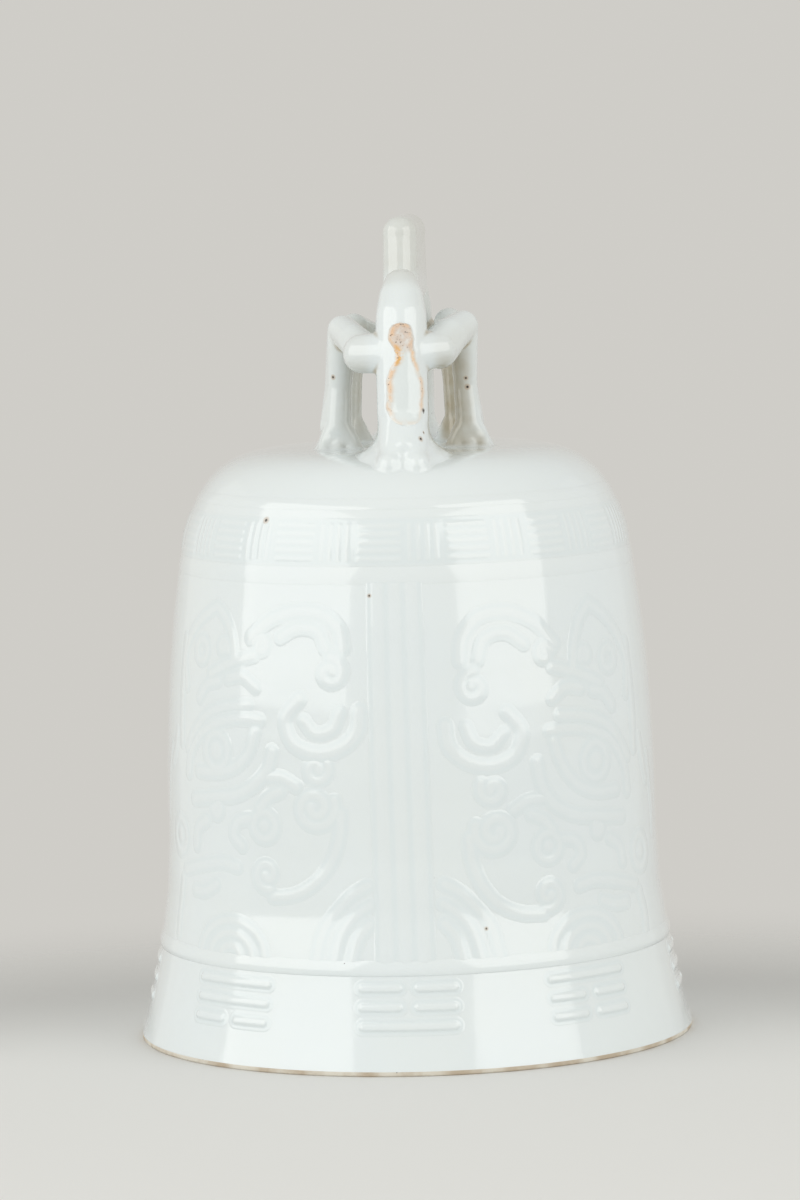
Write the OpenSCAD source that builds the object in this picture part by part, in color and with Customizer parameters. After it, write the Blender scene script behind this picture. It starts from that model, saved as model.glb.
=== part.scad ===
// Porcelain temple bell with a two-headed beast loop and a free-swinging clapper.
// Z is up and the origin is the centre of the mouth plane. The front strap faces -Y.

/* [Bell body] */
// Height from the mouth to the top of the crown
bell_h = 173; // [144:0.5:208]
// Diameter across the flared mouth
mouth_d = 162.4; // [150:0.2:195]
// Diameter of the barrel just above the flare
belly_d = 143.6; // [119:0.2:148]
// Diameter where the barrel turns into the crown
shoulder_d = 130; // [108:0.2:134]
// Thickness of the barrel wall
wall_t = 5; // [4:0.25:6]
// Thickness of the crown
crown_t = 6; // [4.5:0.25:7.5]
// Height of the rounded crown above the shoulder
crown_rise = 25; // [20:0.5:30]
// Height over which the mouth flares out
flare_h = 60; // [50:0.5:72]
// Height of the unglazed foot rim
rim_h = 1.4; // [1.2:0.1:2.4]
// Rounding of the foot rim's two edges
rim_round = 0.6; // [0.4:0.1:1]

/* [Rings and bands] */
// Height of the underside of the waist ring
waist_z = 28; // [27.5:0.1:33]
// Height of the waist ring's face
waist_w = 3.7; // [3:0.1:4.5]
// Standing height of the rings above the wall
ring_h = 0.9; // [0.8:0.1:1.6]
// Drop from the crown top to the lower edge of the key-fret band
fret_drop = 28.3; // [27:0.1:30]
// Height of the key-fret band
fret_w = 10.4; // [9:0.1:11]
// Number of key-fret units round the band
fret_count = 16; // [12:1:18]
// Height of the bead below the key-fret band
bead_w = 4.6; // [3.5:0.1:5.5]
// Gap between the key-fret band and the bead
bead_gap = 1.9; // [1.5:0.1:2.5]
// Height of the bead above the key-fret band
top_bead_w = 2.4; // [2:0.1:3]
// Gap between the key-fret band and the bead above it
top_bead_gap = 4; // [3:0.1:5]

/* [Straps and trigrams] */
// Width of one rib of a strap
rib_w = 3.4; // [2.8:0.1:4]
// Distance from one rib to the next
rib_pitch = 5.1; // [4.6:0.1:6]
// Standing height of the ribs
rib_h = 0.8; // [0.8:0.1:1.5]
// Length of a whole trigram bar
bar_len = 28; // [24:0.5:32]
// Height of a trigram bar
bar_w = 1.8; // [1.4:0.1:2.2]
// Gap in the middle of a broken bar
bar_gap = 4; // [3:0.1:5]
// Standing height of a trigram bar
bar_h = 0.9; // [0.8:0.1:1.5]
// Height of the middle bar above the mouth
bar_mid_z = 19; // [18:0.1:20.5]
// Distance from one bar to the next
bar_pitch = 5.4; // [4.6:0.1:5.8]

/* [Masks] */
// Standing height of the mask lines
line_h = 0.8; // [0.8:0.1:1.5]
// Width of a mask line
line_w = 1.8; // [1.4:0.1:2.2]
// How much higher the left mask was applied than the right
left_lift = 4; // [0:0.5:4.5]

/* [Beast loop] */
// Height of the loop above the crown
loop_h = 67; // [60:0.5:81]
// Width of the neck
neck_w = 15.4; // [14:0.1:17]
// Distance from the loop's middle to the front of a neck
neck_reach = 42; // [38:0.5:46]
// Thickness of a neck from front to back
neck_t = 15; // [13:0.5:17]
// Distance of the paws from the middle plane
paw_x = 18.5; // [17:0.1:21]
// Distance of the paws in front of and behind the middle
paw_y = 13; // [11.5:0.1:14]
// Thickness of a leg
leg_t = 10.4; // [9:0.1:11.5]

/* [Clapper] */
// Width of the porcelain lug under the crown
lug_w = 9; // [8:0.1:10]
// Diameter of both hinge pins
pin_d = 3.9; // [3:0.1:4.5]
// Radial clearance of a pin in its turning hole
pin_fit = 0.06; // [0.03:0.01:0.09]
// Diameter of the clapper's ball
ball_d = 28; // [23:0.5:34]
// Height of the ball's middle above the mouth
ball_z = 42; // [34:0.5:50]
// Diameter of the clapper's rod
rod_d = 5; // [4:0.1:6]
// Clearance between the yoke's cheeks and the lug
yoke_gap = 0.6; // [0.4:0.1:1]

/* [Hidden] */
$fn = 96;

white = "ghostwhite";
cool_white = "aliceblue";
mouth_r = mouth_d / 2;
belly_r = belly_d / 2;
shoulder_r = shoulder_d / 2;
shoulder_z = bell_h - crown_rise;
flare_power = 1.8;
barrel_power = 2.4;
crown_power = 1.1;
crown_square = 7.6;
crown_steps = 8;
barrel_steps = 8;
skirt_steps = 6;
inner_scale_r = (shoulder_r - wall_t) / shoulder_r;
inner_scale_z = (crown_rise - crown_t) / crown_rise;

fret_z = bell_h - fret_drop;
bead_top_z = fret_z - bead_gap;
strap_z0 = waist_z + waist_w;
strap_z1 = bead_top_z - bead_w;
panel_h = strap_z1 - strap_z0;

// ---- the wall's outline ------------------------------------------------------

function flare_r(z) =
    belly_r + (mouth_r - belly_r) * pow((flare_h - max(z, rim_h)) / (flare_h - rim_h), flare_power);
function barrel_r(z) =
    belly_r - (belly_r - shoulder_r) * pow((z - flare_h) / (shoulder_z - flare_h), barrel_power);
function crown_r(v) = shoulder_r * pow(1 - pow(v, crown_power), 1 / crown_square);
function crown_v(i) = 1 - pow(1 - i / crown_steps, 2);

skirt_pts = [for (i = [0 : skirt_steps - 1])
             let (z = rim_h + (waist_z - rim_h) * i / skirt_steps) [z, flare_r(z)]];
hip_pts = [for (z = [waist_z, (waist_z + flare_h) / 2]) [z, flare_r(z)]];
barrel_pts = [for (i = [0 : barrel_steps])
              let (z = flare_h + (shoulder_z - flare_h) * i / barrel_steps) [z, barrel_r(z)]];
crown_pts = [for (i = [1 : crown_steps - 1]) [shoulder_z + crown_rise * crown_v(i), crown_r(crown_v(i))]];
wall_pts = concat(skirt_pts, hip_pts, barrel_pts, crown_pts);
seat_r = crown_r(crown_v(crown_steps - 1)) - 4;

function wall_r(z) = lookup(z, wall_pts);
function span(z0, z1) = concat([z0], [for (p = wall_pts) if (p[0] > z0 && p[0] < z1) p[0]], [z1]);
function up(z0, z1, out) = [for (z = span(z0, z1)) [wall_r(z) + out, z]];
function back_down(pts) = [for (i = [len(pts) - 1 : -1 : 0]) pts[i]];

module wall_section(z0, z1)
    rotate_extrude() polygon(concat(up(z0, z1, 0), back_down(up(z0, z1, -wall_t))));

// The crown filled to the axis: what the loop's pieces are trimmed against.
module crown_block()
    rotate_extrude()
        polygon(concat([[0, shoulder_z]], up(shoulder_z, crown_pts[crown_steps - 2][0], 0),
                       [[seat_r, bell_h], [0, bell_h]]));

// A skin of the given thickness on the outside of the wall.
module skin(z0, z1, h)
    rotate_extrude() polygon(concat(up(z0, z1, h), back_down(up(z0, z1, 0))));

// A raised moulding with sloping edges, all round or over an arc centred on a bearing.
module moulding(z0, z1, h, arc = 360, bearing = 0) {
    slope = min(h, (z1 - z0) / 3);
    face = concat([[wall_r(z0), z0]], up(z0 + slope, z1 - slope, h), [[wall_r(z1), z1]]);
    rotate([0, 0, bearing - 90 - arc / 2])
        rotate_extrude(angle = arc)
            polygon(concat(face, back_down(up(z0, z1, 0))));
}

// ---- the bell body -------------------------------------------------------------

module crown_dome() color(white) {
    outside = up(shoulder_z, crown_pts[crown_steps - 2][0], 0);
    inside = [for (p = outside) [p[0] * inner_scale_r, shoulder_z + (p[1] - shoulder_z) * inner_scale_z]];
    ceiling_z = bell_h - crown_t;
    rotate_extrude()
        polygon(concat(outside, [[seat_r, bell_h], [0, bell_h], [0, ceiling_z],
                                 [seat_r * inner_scale_r, ceiling_z]], back_down(inside)));
}

module barrel_wall() color(white) wall_section(waist_z, shoulder_z);
module flared_skirt() color(white) wall_section(rim_h, waist_z);

module foot_rim() color("tan")
    rotate_extrude()
        polygon([[mouth_r, rim_h], [mouth_r, rim_round], [mouth_r - rim_round, 0],
                 [mouth_r - wall_t + rim_round, 0], [mouth_r - wall_t, rim_round], [mouth_r - wall_t, rim_h]]);

// ---- rings, bands, straps and trigrams -----------------------------------------

module shoulder_bead() color(white) {
    z0 = fret_z + fret_w + top_bead_gap;
    moulding(z0, z0 + top_bead_w, ring_h);
}

module barrel_bead() color(white) moulding(strap_z1, bead_top_z, ring_h);
module waist_ring() color(white) moulding(waist_z, strap_z0, ring_h);

// One key-fret unit: a block of level bars beside a block of upright bars.
module fret_unit(bearing) {
    step = 360 / fret_count;
    rows = 4;
    row_pitch = fret_w / (rows - 0.4);
    row_w = row_pitch * 0.55;
    for (i = [0 : rows - 1])
        moulding(fret_z + i * row_pitch, fret_z + i * row_pitch + row_w, line_h * 0.7,
                 step * 0.5, bearing - step * 0.22);
    for (i = [0 : rows - 1])
        moulding(fret_z, fret_z + fret_w - row_pitch * 0.05, line_h * 0.7,
                 step * 0.055, bearing + step * (0.12 + 0.1 * i));
}

module fret_band() color(cool_white)
    for (i = [0 : fret_count - 1]) fret_unit(i * 360 / fret_count);

module rib_strap(bearing) {
    rib_arc = rib_w / belly_r * 180 / PI;
    pitch_arc = rib_pitch / belly_r * 180 / PI;
    for (i = [-1 : 1]) moulding(strap_z0, strap_z1, rib_h, rib_arc, bearing + i * pitch_arc);
}

module rib_strap_front() color(white) rib_strap(0);
module rib_strap_back() color(white) rib_strap(180);

// One bar of a trigram: whole, or broken into two halves.
module bar(bearing, z, whole) {
    radius = wall_r(z);
    half = (bar_len - bar_gap) / 2;
    deg = 180 / PI / radius;
    if (whole) moulding(z - bar_w / 2, z + bar_w / 2, bar_h, bar_len * deg, bearing);
    if (!whole)
        for (s = [-1, 1])
            moulding(z - bar_w / 2, z + bar_w / 2, bar_h, half * deg,
                     bearing + s * (half + bar_gap) / 2 * deg);
}

// Three bars, listed from the top: 1 is a whole bar and 0 is a broken one.
module trigram(bearing, bars)
    for (i = [0 : 2]) bar(bearing, bar_mid_z + (1 - i) * bar_pitch, bars[i] == 1);

diagonal = 42;
module trigram_front() color(white) trigram(0, [0, 0, 1]);
module trigram_front_right() color(white) trigram(diagonal, [1, 0, 0]);
module trigram_right() color(white) trigram(90, [0, 1, 0]);
module trigram_back_right() color(white) trigram(180 - diagonal, [1, 1, 1]);
module trigram_back() color(white) trigram(180, [0, 1, 1]);
module trigram_back_left() color(white) trigram(180 + diagonal, [0, 0, 0]);
module trigram_left() color(white) trigram(270, [1, 0, 1]);
module trigram_front_left() color(white) trigram(-diagonal, [1, 1, 0]);

// ---- the masks: drawn as lines on the wall ----------------------------------------
// A line is a list of points [bearing from the strap, height in the panel], where the
// panel's height is 106 and its arcs are those of a barrel of radius 72.

draw_h = 106;
draw_r = 72;
draw_z = 32;
scale_z = panel_h / draw_h;
scale_x = belly_r / draw_r;
curl_gap = 1;
curl_pitch = line_w + curl_gap;

// A smooth curve through the points, four steps to each stretch.
function curve_at(p, i, t) =
    let (n = len(p) - 1, a = p[max(i - 1, 0)], b = p[i], c = p[min(i + 1, n)], d = p[min(i + 2, n)])
    0.5 * (2 * b + (c - a) * t + (2 * a - 5 * b + 4 * c - d) * t * t + (3 * b - a - 3 * c + d) * t * t * t);
function smooth(p) =
    concat([for (i = [0 : len(p) - 2], t = [0 : 0.34 : 0.99]) curve_at(p, i, t)], [p[len(p) - 1]]);
function unit(v) = v / norm(v);
function side_of(p, i, w) =
    let (d = unit(p[min(i + 1, len(p) - 1)] - p[max(i - 1, 0)])) p[i] + w / 2 * [-d[1], d[0]];
function ribbon(p, w) = concat([for (i = [0 : len(p) - 1]) side_of(p, i, w)],
                               [for (i = [len(p) - 1 : -1 : 0]) side_of(p, i, -w)]);
// Points of a line, moved to millimetres about the place where it is drawn.
function to_mm(p, centre) =
    [for (q = p) [(q[0] - centre[0]) * PI / 180 * draw_r * scale_x, (q[1] - centre[1]) * scale_z]];
function arc_pts(r, start, sweep) = [for (i = [0 : 12]) r * [cos(start + sweep * i / 12), sin(start + sweep * i / 12)]];

// Cuts its 2-D children out of a thin skin of the wall, at a place in the panel.
module on_wall(centre, lift) {
    z = strap_z0 + (centre[1] - draw_z + lift) * scale_z;
    reach = 22 * scale_z;
    z0 = max(strap_z0 + 0.4, z - reach);
    z1 = min(strap_z1 - 0.4, z + reach);
    intersection() {
        skin(z0, z1, line_h);
        rotate([0, 0, centre[0]])
            translate([0, 0, z])
                rotate([90, 0, 0])
                    linear_extrude(height = mouth_r) children();
    }
}

module line(p, centre, w = line_w) polygon(ribbon(smooth(to_mm(p, centre)), w));

// A curl: a hooked line round a bead, with a second hook inside it when it is large.
module volute(at, centre, r, start = 0, hooks = 1)
    translate(to_mm([at], centre)[0]) {
        for (i = [0 : hooks - 1])
            polygon(ribbon(arc_pts(r - line_w / 2 - i * curl_pitch, start + 180 * i, 290), line_w));
        circle(r - line_w - (hooks - 1) * curl_pitch - curl_gap);
    }

module ring_at(at, centre, r, w = line_w)
    translate(to_mm([at], centre)[0]) difference() {
        circle(r);
        circle(r - w);
    }

// Both halves of one mask, front and back, on the right or the left of the bell.
module both_halves(side)
    mirror([side < 0 ? 1 : 0, 0, 0]) {
        children();
        mirror([0, 1, 0]) children();
    }

module mask_eyes(side, lift) color(cool_white) both_halves(side) {
    c = [49, 85];
    on_wall(c, lift) {
        ring_at([49, 85.5], c, 6.4);
        translate(to_mm([[49, 85.5]], c)[0]) circle(2.6);
        line([[37, 94.5], [43, 95], [50, 94], [56, 90.5], [60.5, 84], [61.5, 77]], c);
        line([[35.6, 91], [38, 83], [43, 77], [50, 74.4], [58, 73.6]], c);
        line([[33, 90], [33, 84], [36, 77.5], [42, 72], [50, 69.6], [58, 67.5]], c);
    }
}

module mask_brows(side, lift) color(cool_white) both_halves(side) {
    c = [50, 110];
    on_wall(c, lift) {
        line([[38, 101], [45, 99.4], [52, 98], [58, 94.6], [62, 90]], c);
        line([[37, 112], [42, 109], [47, 108], [53, 104.6], [56, 101.6]], c);
        volute([47, 114], c, 4, 10);
        volute([57, 112], c, 4.4, 160);
        line([[43, 119.5], [45.4, 125], [49.6, 129.6]], c);
        line([[51.6, 127.6], [56, 124], [60, 120.6], [63, 115]], c);
    }
}

module mask_horns(side, lift) color(cool_white) both_halves(side) {
    c = [22, 108];
    on_wall(c, lift) {
        volute([15, 108], c, 5, 60);
        volute([33, 117], c, 4.6, 60);
        line([[12, 116], [14, 122.6], [19, 127.6], [26, 129], [32, 126.6], [37, 121.6]], c);
        line([[10, 97], [10.6, 91.6], [14, 87.4], [19, 86.6], [24, 89.4], [26, 94], [23.6, 99], [19, 101.4]], c);
    }
}

module mask_curls(side, lift) color(cool_white) both_halves(side) {
    c = [21, 68];
    on_wall(c, lift) {
        volute([19, 80], c, 4.6, 120);
        volute([20.6, 67.4], c, 7.2, 180, 2);
    }
    d = [24, 54];
    on_wall(d, lift) {
        line([[12.6, 63], [14.4, 57], [17, 51], [20, 46.8], [25, 44.6]], d);
        volute([33, 48], d, 5.2, 200);
    }
}

module mask_whiskers(side, lift) color(cool_white) both_halves(side) {
    c = [36, 62];
    on_wall(c, lift) {
        line([[27, 74], [31, 71.6], [34, 67.4], [38, 66], [42, 66]], c);
        line([[29, 66.6], [28, 61], [30.6, 57], [36, 57.4]], c);
        line([[41, 61], [45, 62.6], [50, 62]], c);
    }
}

module mask_snout(side, lift) color(cool_white) both_halves(side) {
    c = [70, 90];
    on_wall(c, lift) line([[66, 110], [66.6, 100], [68, 92], [72, 84], [75, 76], [77, 70]], c);
    d = [64, 56];
    on_wall(d, lift) {
        line([[77.4, 66], [78, 59], [76, 51], [72, 46.6]], d);
        ring_at([66, 56], d, 5.4);
        line([[42, 50], [49, 48.4], [56, 48.6], [62, 46.4], [66, 43]], d);
    }
}

// Nested cloud lines that spring from the edge of a strap.
module clouds(side) color(cool_white) both_halves(side) {
    c = [13, 42];
    on_wall(c, 0) {
        line([[8.4, 52], [12, 50], [15.6, 45.6], [18.6, 39.6], [19.6, 34]], c);
        line([[8.4, 46.4], [11, 44.6], [13.6, 40], [15, 34]], c);
        line([[8.4, 40.6], [9.8, 38], [10.6, 34]], c);
    }
}

// Nested arcs that stand on the waist ring below each mask.
module hills(side) color(cool_white) both_halves(side) {
    c = [44, 33];
    on_wall(c, 0)
        for (r = [11.4, 7.4, 3.4])
            line([for (a = [0 : 30 : 180]) c + [r * cos(a), 0.7 * r * sin(a)]], c);
}

module mask_right_eyes() mask_eyes(1, 0);
module mask_right_brows() mask_brows(1, 0);
module mask_right_horns() mask_horns(1, 0);
module mask_right_curls() mask_curls(1, 0);
module mask_right_whiskers() mask_whiskers(1, 0);
module mask_right_snout() mask_snout(1, 0);
module clouds_right() clouds(1);
module hills_right() hills(1);
module mask_left_eyes() mask_eyes(-1, left_lift);
module mask_left_brows() mask_brows(-1, left_lift);
module mask_left_horns() mask_horns(-1, left_lift);
module mask_left_curls() mask_curls(-1, left_lift);
module mask_left_whiskers() mask_whiskers(-1, left_lift);
module mask_left_snout() mask_snout(-1, left_lift);
module clouds_left() clouds(-1);
module hills_left() hills(-1);

// ---- the beast loop on the crown ----------------------------------------------------

shape_fn = 20;
neck_r = neck_w / 2;
neck_foot_y = neck_reach - neck_t / 2;
neck_top_y = neck_foot_y - 11;
arm_z = bell_h + 0.41 * loop_h;
neck_top_z = bell_h + 0.765 * loop_h;
crest_r = 5.6;
leg_r = leg_t / 2;
lip_y = neck_reach + 9;
crest_y = 6;
bridge_y = 10;
bridge_end_r = 5.4;
toe_gap = 4.4;
toe_r = 3.4;
pad_top_r = 2.6;
pad_foot_r = 5;

// Front or back, right or left: turns the front right piece into one of the four.
module quarter(side, end)
    mirror([side < 0 ? 1 : 0, 0, 0]) mirror([0, end < 0 ? 1 : 0, 0]) children();

// Trims a piece to the crown that it was luted to.
module seated()
    difference() {
        children();
        crown_block();
    }

module ball_at(place, r) translate(place) sphere(r, $fn = shape_fn);

// The neck's bar: upright from the crown to the arms, and leaning in above them.
module neck_bar() {
    hull() {
        ball_at([0, -neck_foot_y, bell_h + 2], neck_r);
        ball_at([0, -neck_foot_y + 3, arm_z], neck_r);
    }
    hull() {
        ball_at([0, -neck_foot_y + 3, arm_z], neck_r);
        ball_at([0, -neck_top_y, neck_top_z - bridge_end_r], bridge_end_r);
    }
}

module neck(end) color(white) quarter(1, end) seated() neck_bar();

module neck_front() neck(1);
module neck_back() neck(-1);

// The head bites the crown: a flared muzzle with two lips, two eyes and a nose.
module head(end) color(white) quarter(1, end) seated() {
    hull() {
        ball_at([0, -neck_foot_y - 2, bell_h + 8], neck_r);
        for (s = [-1, 1]) ball_at([s * 5.4, -neck_foot_y - 4, bell_h - 1], 6);
        for (s = [-1, 1]) ball_at([s * 4, -lip_y + 5, bell_h - 4], 4.6);
    }
    for (s = [-1, 1]) {
        ball_at([s * 4.4, -neck_foot_y - 8.6, bell_h + 7.6], 1.8);
        ball_at([s * 2.2, -neck_foot_y - 11, bell_h + 3.4], 2);
    }
}

module head_front() head(1);
module head_back() head(-1);

// The long pad on the face of the neck, narrow above and wide below.
module mane_pad(end) color("bisque") quarter(1, end)
    difference() {
        hull() {
            translate([0, -neck_foot_y + 3, bell_h + 0.55 * loop_h]) rotate([90, 0, 0])
                cylinder(r = pad_top_r, h = neck_r + 0.5, $fn = shape_fn);
            translate([0, -neck_foot_y + 1, bell_h + 0.22 * loop_h]) rotate([90, 0, 0])
                cylinder(r = pad_foot_r, h = neck_r + 1, $fn = shape_fn);
        }
        neck_bar();
    }

module mane_pad_front() mane_pad(1);
module mane_pad_back() mane_pad(-1);

// The beasts' joined back, which bridges the two necks.
module beast_back() color(white)
    hull() for (s = [-1, 1]) ball_at([0, s * neck_top_y * 0.8, neck_top_z - bridge_end_r - 1], 5.2);

module loop_crest() color(white)
    hull() for (s = [-1, 1]) {
        ball_at([0, s * crest_y, bell_h + loop_h - crest_r], crest_r);
        ball_at([0, s * bridge_y, neck_top_z - bridge_end_r - 1], crest_r);
    }

// An arm out of the neck and the leg below it.
module leg(side, end) color(white) quarter(side, end) {
    shoulder = [neck_r - 2, -neck_foot_y + 5, arm_z];
    elbow = [paw_x - 6.4, -neck_foot_y + 8, arm_z - 0.5];
    knee = [paw_x - 1.6, -paw_y - 2, arm_z + 4.6];
    ankle = [paw_x, -paw_y, bell_h + 7];
    hull() {
        ball_at(shoulder, leg_r);
        ball_at(elbow, leg_r);
    }
    hull() {
        ball_at(elbow, leg_r);
        ball_at(knee, leg_r - 0.6);
    }
    hull() {
        ball_at(knee, leg_r - 0.6);
        ball_at(ankle, leg_r);
    }
}

module leg_front_right() leg(1, 1);
module leg_front_left() leg(-1, 1);
module leg_back_right() leg(1, -1);
module leg_back_left() leg(-1, -1);

// A spread paw with three toes.
module paw(side, end) color(white) quarter(side, end) seated()
    hull() {
        ball_at([paw_x, -paw_y, bell_h + 6.4], leg_r);
        for (s = [-1 : 1]) ball_at([paw_x + s * toe_gap, -paw_y - 1.4 + abs(s), bell_h + 1.4], toe_r);
    }

module paw_front_right() paw(1, 1);
module paw_front_left() paw(-1, 1);
module paw_back_right() paw(1, -1);
module paw_back_left() paw(-1, -1);

// ---- the clapper ----------------------------------------------------------------------

ceiling_z = bell_h - crown_t;
lug_r = 6;
pivot_z = ceiling_z - 11;
cheek_t = 2.4;
cheek_x = lug_w / 2 + yoke_gap;
eye_r = 4.6;
bridge_drop = 9;
bridge_h = 4.6;
tongue_t = 5;
fork_drop = 21;
fork_z = pivot_z - fork_drop;
ear_t = 2.4;
ear_y = tongue_t / 2 + yoke_gap;
crotch_drop = 7;

module along_x(r, length) rotate([0, 90, 0]) cylinder(r = r, h = length, center = true);
module along_y(r, length) rotate([90, 0, 0]) cylinder(r = r, h = length, center = true);

module crown_lug() color(white)
    difference() {
        union() {
            translate([-lug_w / 2, -lug_r, pivot_z]) cube([lug_w, 2 * lug_r, ceiling_z - pivot_z]);
            translate([0, 0, pivot_z]) along_x(lug_r, lug_w);
        }
        translate([0, 0, pivot_z]) along_x(pin_d / 2 + pin_fit, lug_w + 2);
    }

module hanger_pin() color("goldenrod")
    translate([0, 0, pivot_z]) along_x(pin_d / 2, 2 * (cheek_x + cheek_t) + 1.6);

// Two cheeks beside the lug, a bridge under it and a tongue below the bridge.
module hanger_yoke() color("goldenrod") {
    difference() {
        union() {
            for (s = [-1, 1]) translate([s * (cheek_x + cheek_t / 2), 0, pivot_z]) {
                along_x(eye_r, cheek_t);
                translate([-cheek_t / 2, -eye_r, -bridge_drop - bridge_h])
                    cube([cheek_t, 2 * eye_r, bridge_drop + bridge_h]);
            }
            translate([-cheek_x - cheek_t, -eye_r, pivot_z - bridge_drop - bridge_h])
                cube([2 * (cheek_x + cheek_t), 2 * eye_r, bridge_h]);
            translate([-eye_r, -tongue_t / 2, fork_z])
                cube([2 * eye_r, tongue_t, fork_drop - bridge_drop - bridge_h + 1]);
            translate([0, 0, fork_z]) along_y(eye_r, tongue_t);
        }
        translate([0, 0, pivot_z]) along_x(pin_d / 2, 4 * (cheek_x + cheek_t));
        translate([0, 0, fork_z]) along_y(pin_d / 2 + pin_fit, tongue_t + 2);
    }
}

module clapper_pin() color("goldenrod")
    translate([0, 0, fork_z]) along_y(pin_d / 2, 2 * (ear_y + ear_t) + 1.6);

// A fork round the tongue, and the rod that carries the ball.
module clapper_rod() color("goldenrod") {
    difference() {
        union() {
            for (s = [-1, 1]) translate([0, s * (ear_y + ear_t / 2), fork_z]) {
                along_y(eye_r, ear_t);
                translate([-eye_r, -ear_t / 2, -crotch_drop - 3])
                    cube([2 * eye_r, ear_t, crotch_drop + 3]);
            }
            translate([-eye_r, -ear_y - ear_t, fork_z - crotch_drop - 3])
                cube([2 * eye_r, 2 * (ear_y + ear_t), 3]);
            translate([0, 0, ball_z]) cylinder(d = rod_d, h = fork_z - crotch_drop - 2 - ball_z);
        }
        translate([0, 0, fork_z]) along_y(pin_d / 2, 4 * (ear_y + ear_t));
    }
}

module clapper_ball() color("saddlebrown")
    difference() {
        translate([0, 0, ball_z]) sphere(d = ball_d);
        translate([0, 0, ball_z]) cylinder(d = rod_d, h = ball_d);
    }

crown_dome();
barrel_wall();
flared_skirt();
foot_rim();
shoulder_bead();
fret_band();
barrel_bead();
waist_ring();
rib_strap_front();
rib_strap_back();
trigram_front();
trigram_front_right();
trigram_right();
trigram_back_right();
trigram_back();
trigram_back_left();
trigram_left();
trigram_front_left();
mask_right_eyes();
mask_right_brows();
mask_right_horns();
mask_right_curls();
mask_right_whiskers();
mask_right_snout();
clouds_right();
hills_right();
mask_left_eyes();
mask_left_brows();
mask_left_horns();
mask_left_curls();
mask_left_whiskers();
mask_left_snout();
clouds_left();
hills_left();
neck_front();
neck_back();
head_front();
head_back();
mane_pad_front();
mane_pad_back();
beast_back();
loop_crest();
leg_front_right();
leg_front_left();
leg_back_right();
leg_back_left();
paw_front_right();
paw_front_left();
paw_back_right();
paw_back_left();
crown_lug();
hanger_pin();
hanger_yoke();
clapper_rod();
clapper_pin();
clapper_ball();
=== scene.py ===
"""A white glazed porcelain temple bell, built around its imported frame.

Sizes are in millimetres and bearings in degrees round the bell's axis. Bearing 0 is the front, which
faces -Y, and bearings grow towards +X. Blender's own units are metres, and MM turns one into the other.
"""

import logging
import math
from dataclasses import dataclass, field
from enum import Enum
from typing import Callable, Iterable, Sequence

import bpy
import numpy as np
from mathutils import Matrix, Vector
from mathutils.kdtree import KDTree


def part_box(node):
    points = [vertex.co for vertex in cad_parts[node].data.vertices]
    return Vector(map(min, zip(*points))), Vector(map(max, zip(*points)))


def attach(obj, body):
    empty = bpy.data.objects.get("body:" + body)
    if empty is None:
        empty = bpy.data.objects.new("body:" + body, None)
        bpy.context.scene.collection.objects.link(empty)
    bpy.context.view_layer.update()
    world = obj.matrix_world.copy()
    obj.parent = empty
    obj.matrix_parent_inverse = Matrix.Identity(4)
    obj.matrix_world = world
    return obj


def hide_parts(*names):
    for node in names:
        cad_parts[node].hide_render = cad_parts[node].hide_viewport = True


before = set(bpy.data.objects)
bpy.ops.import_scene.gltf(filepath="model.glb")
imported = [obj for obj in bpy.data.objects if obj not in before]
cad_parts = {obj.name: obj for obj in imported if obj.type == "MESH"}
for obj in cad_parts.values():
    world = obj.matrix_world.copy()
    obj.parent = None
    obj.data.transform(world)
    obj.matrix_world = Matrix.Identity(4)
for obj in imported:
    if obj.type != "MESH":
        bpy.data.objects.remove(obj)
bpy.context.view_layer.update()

LOG = logging.getLogger("porcelain_bell")
MM = 0.001
CURVE_STEPS = 8  # short stretches of a curve between one of its points and the next

# Where the glaze has dark specks: (bearing, height, radius) on the wall, and (X, height above the
# crown, radius) on the front of the loop.
WALL_SPECKS = ((-7.3, 135.0, 0.35), (-37.5, 155.6, 0.6), (17.7, 40.0, 0.35))
LOOP_SPECKS = (
    (-20.6, 21.1, 0.45), (17.9, 20.0, 0.40), (18.3, 17.4, 0.5), (5.2, 4.6, 0.5), (6.0, 6.2, 0.3),
)

Colour = tuple[float, float, float]
Place = tuple[float, float]
Point = tuple[float, float, float]


class Side(Enum):
    """The right or the left of the bell, seen from the front."""

    RIGHT = 1
    LEFT = -1


class End(Enum):
    """The front or the back of the bell, as the sign of -Y."""

    FRONT = 1
    BACK = -1


class Slot(Enum):
    """The material slots."""

    PORCELAIN = "porcelain"
    BISCUIT = "biscuit"
    SCARRED_GLAZE = "scarred_glaze"
    BRASS = "brass"
    HARDWOOD = "hardwood"


# ---- the frame ---------------------------------------------------------------------------


def span_of(node: str) -> tuple[np.ndarray, np.ndarray]:
    """Measures a CAD node's box.

    Args:
        node: The CAD node's name.

    Returns:
        Its lowest and highest corners, in millimetres.
    """
    low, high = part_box(node)
    return np.array(low) / MM, np.array(high) / MM


def turned_rows(node: str) -> np.ndarray:
    """Reads the outer edge of a CAD node that was turned round the bell's axis.

    Args:
        node: The CAD node's name.

    Returns:
        One (radius, height) for each height that the node has vertices at, from the lowest up.
    """
    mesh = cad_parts[node].data
    spots = np.empty(len(mesh.vertices) * 3)
    mesh.vertices.foreach_get("co", spots)
    spots = spots.reshape(-1, 3) / MM
    heights = np.round(spots[:, 2], 2)
    radii = np.hypot(spots[:, 0], spots[:, 1])
    return np.array([(radii[heights == z].max(), z) for z in np.unique(heights)])


# ---- curves and soft steps ---------------------------------------------------------------


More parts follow.
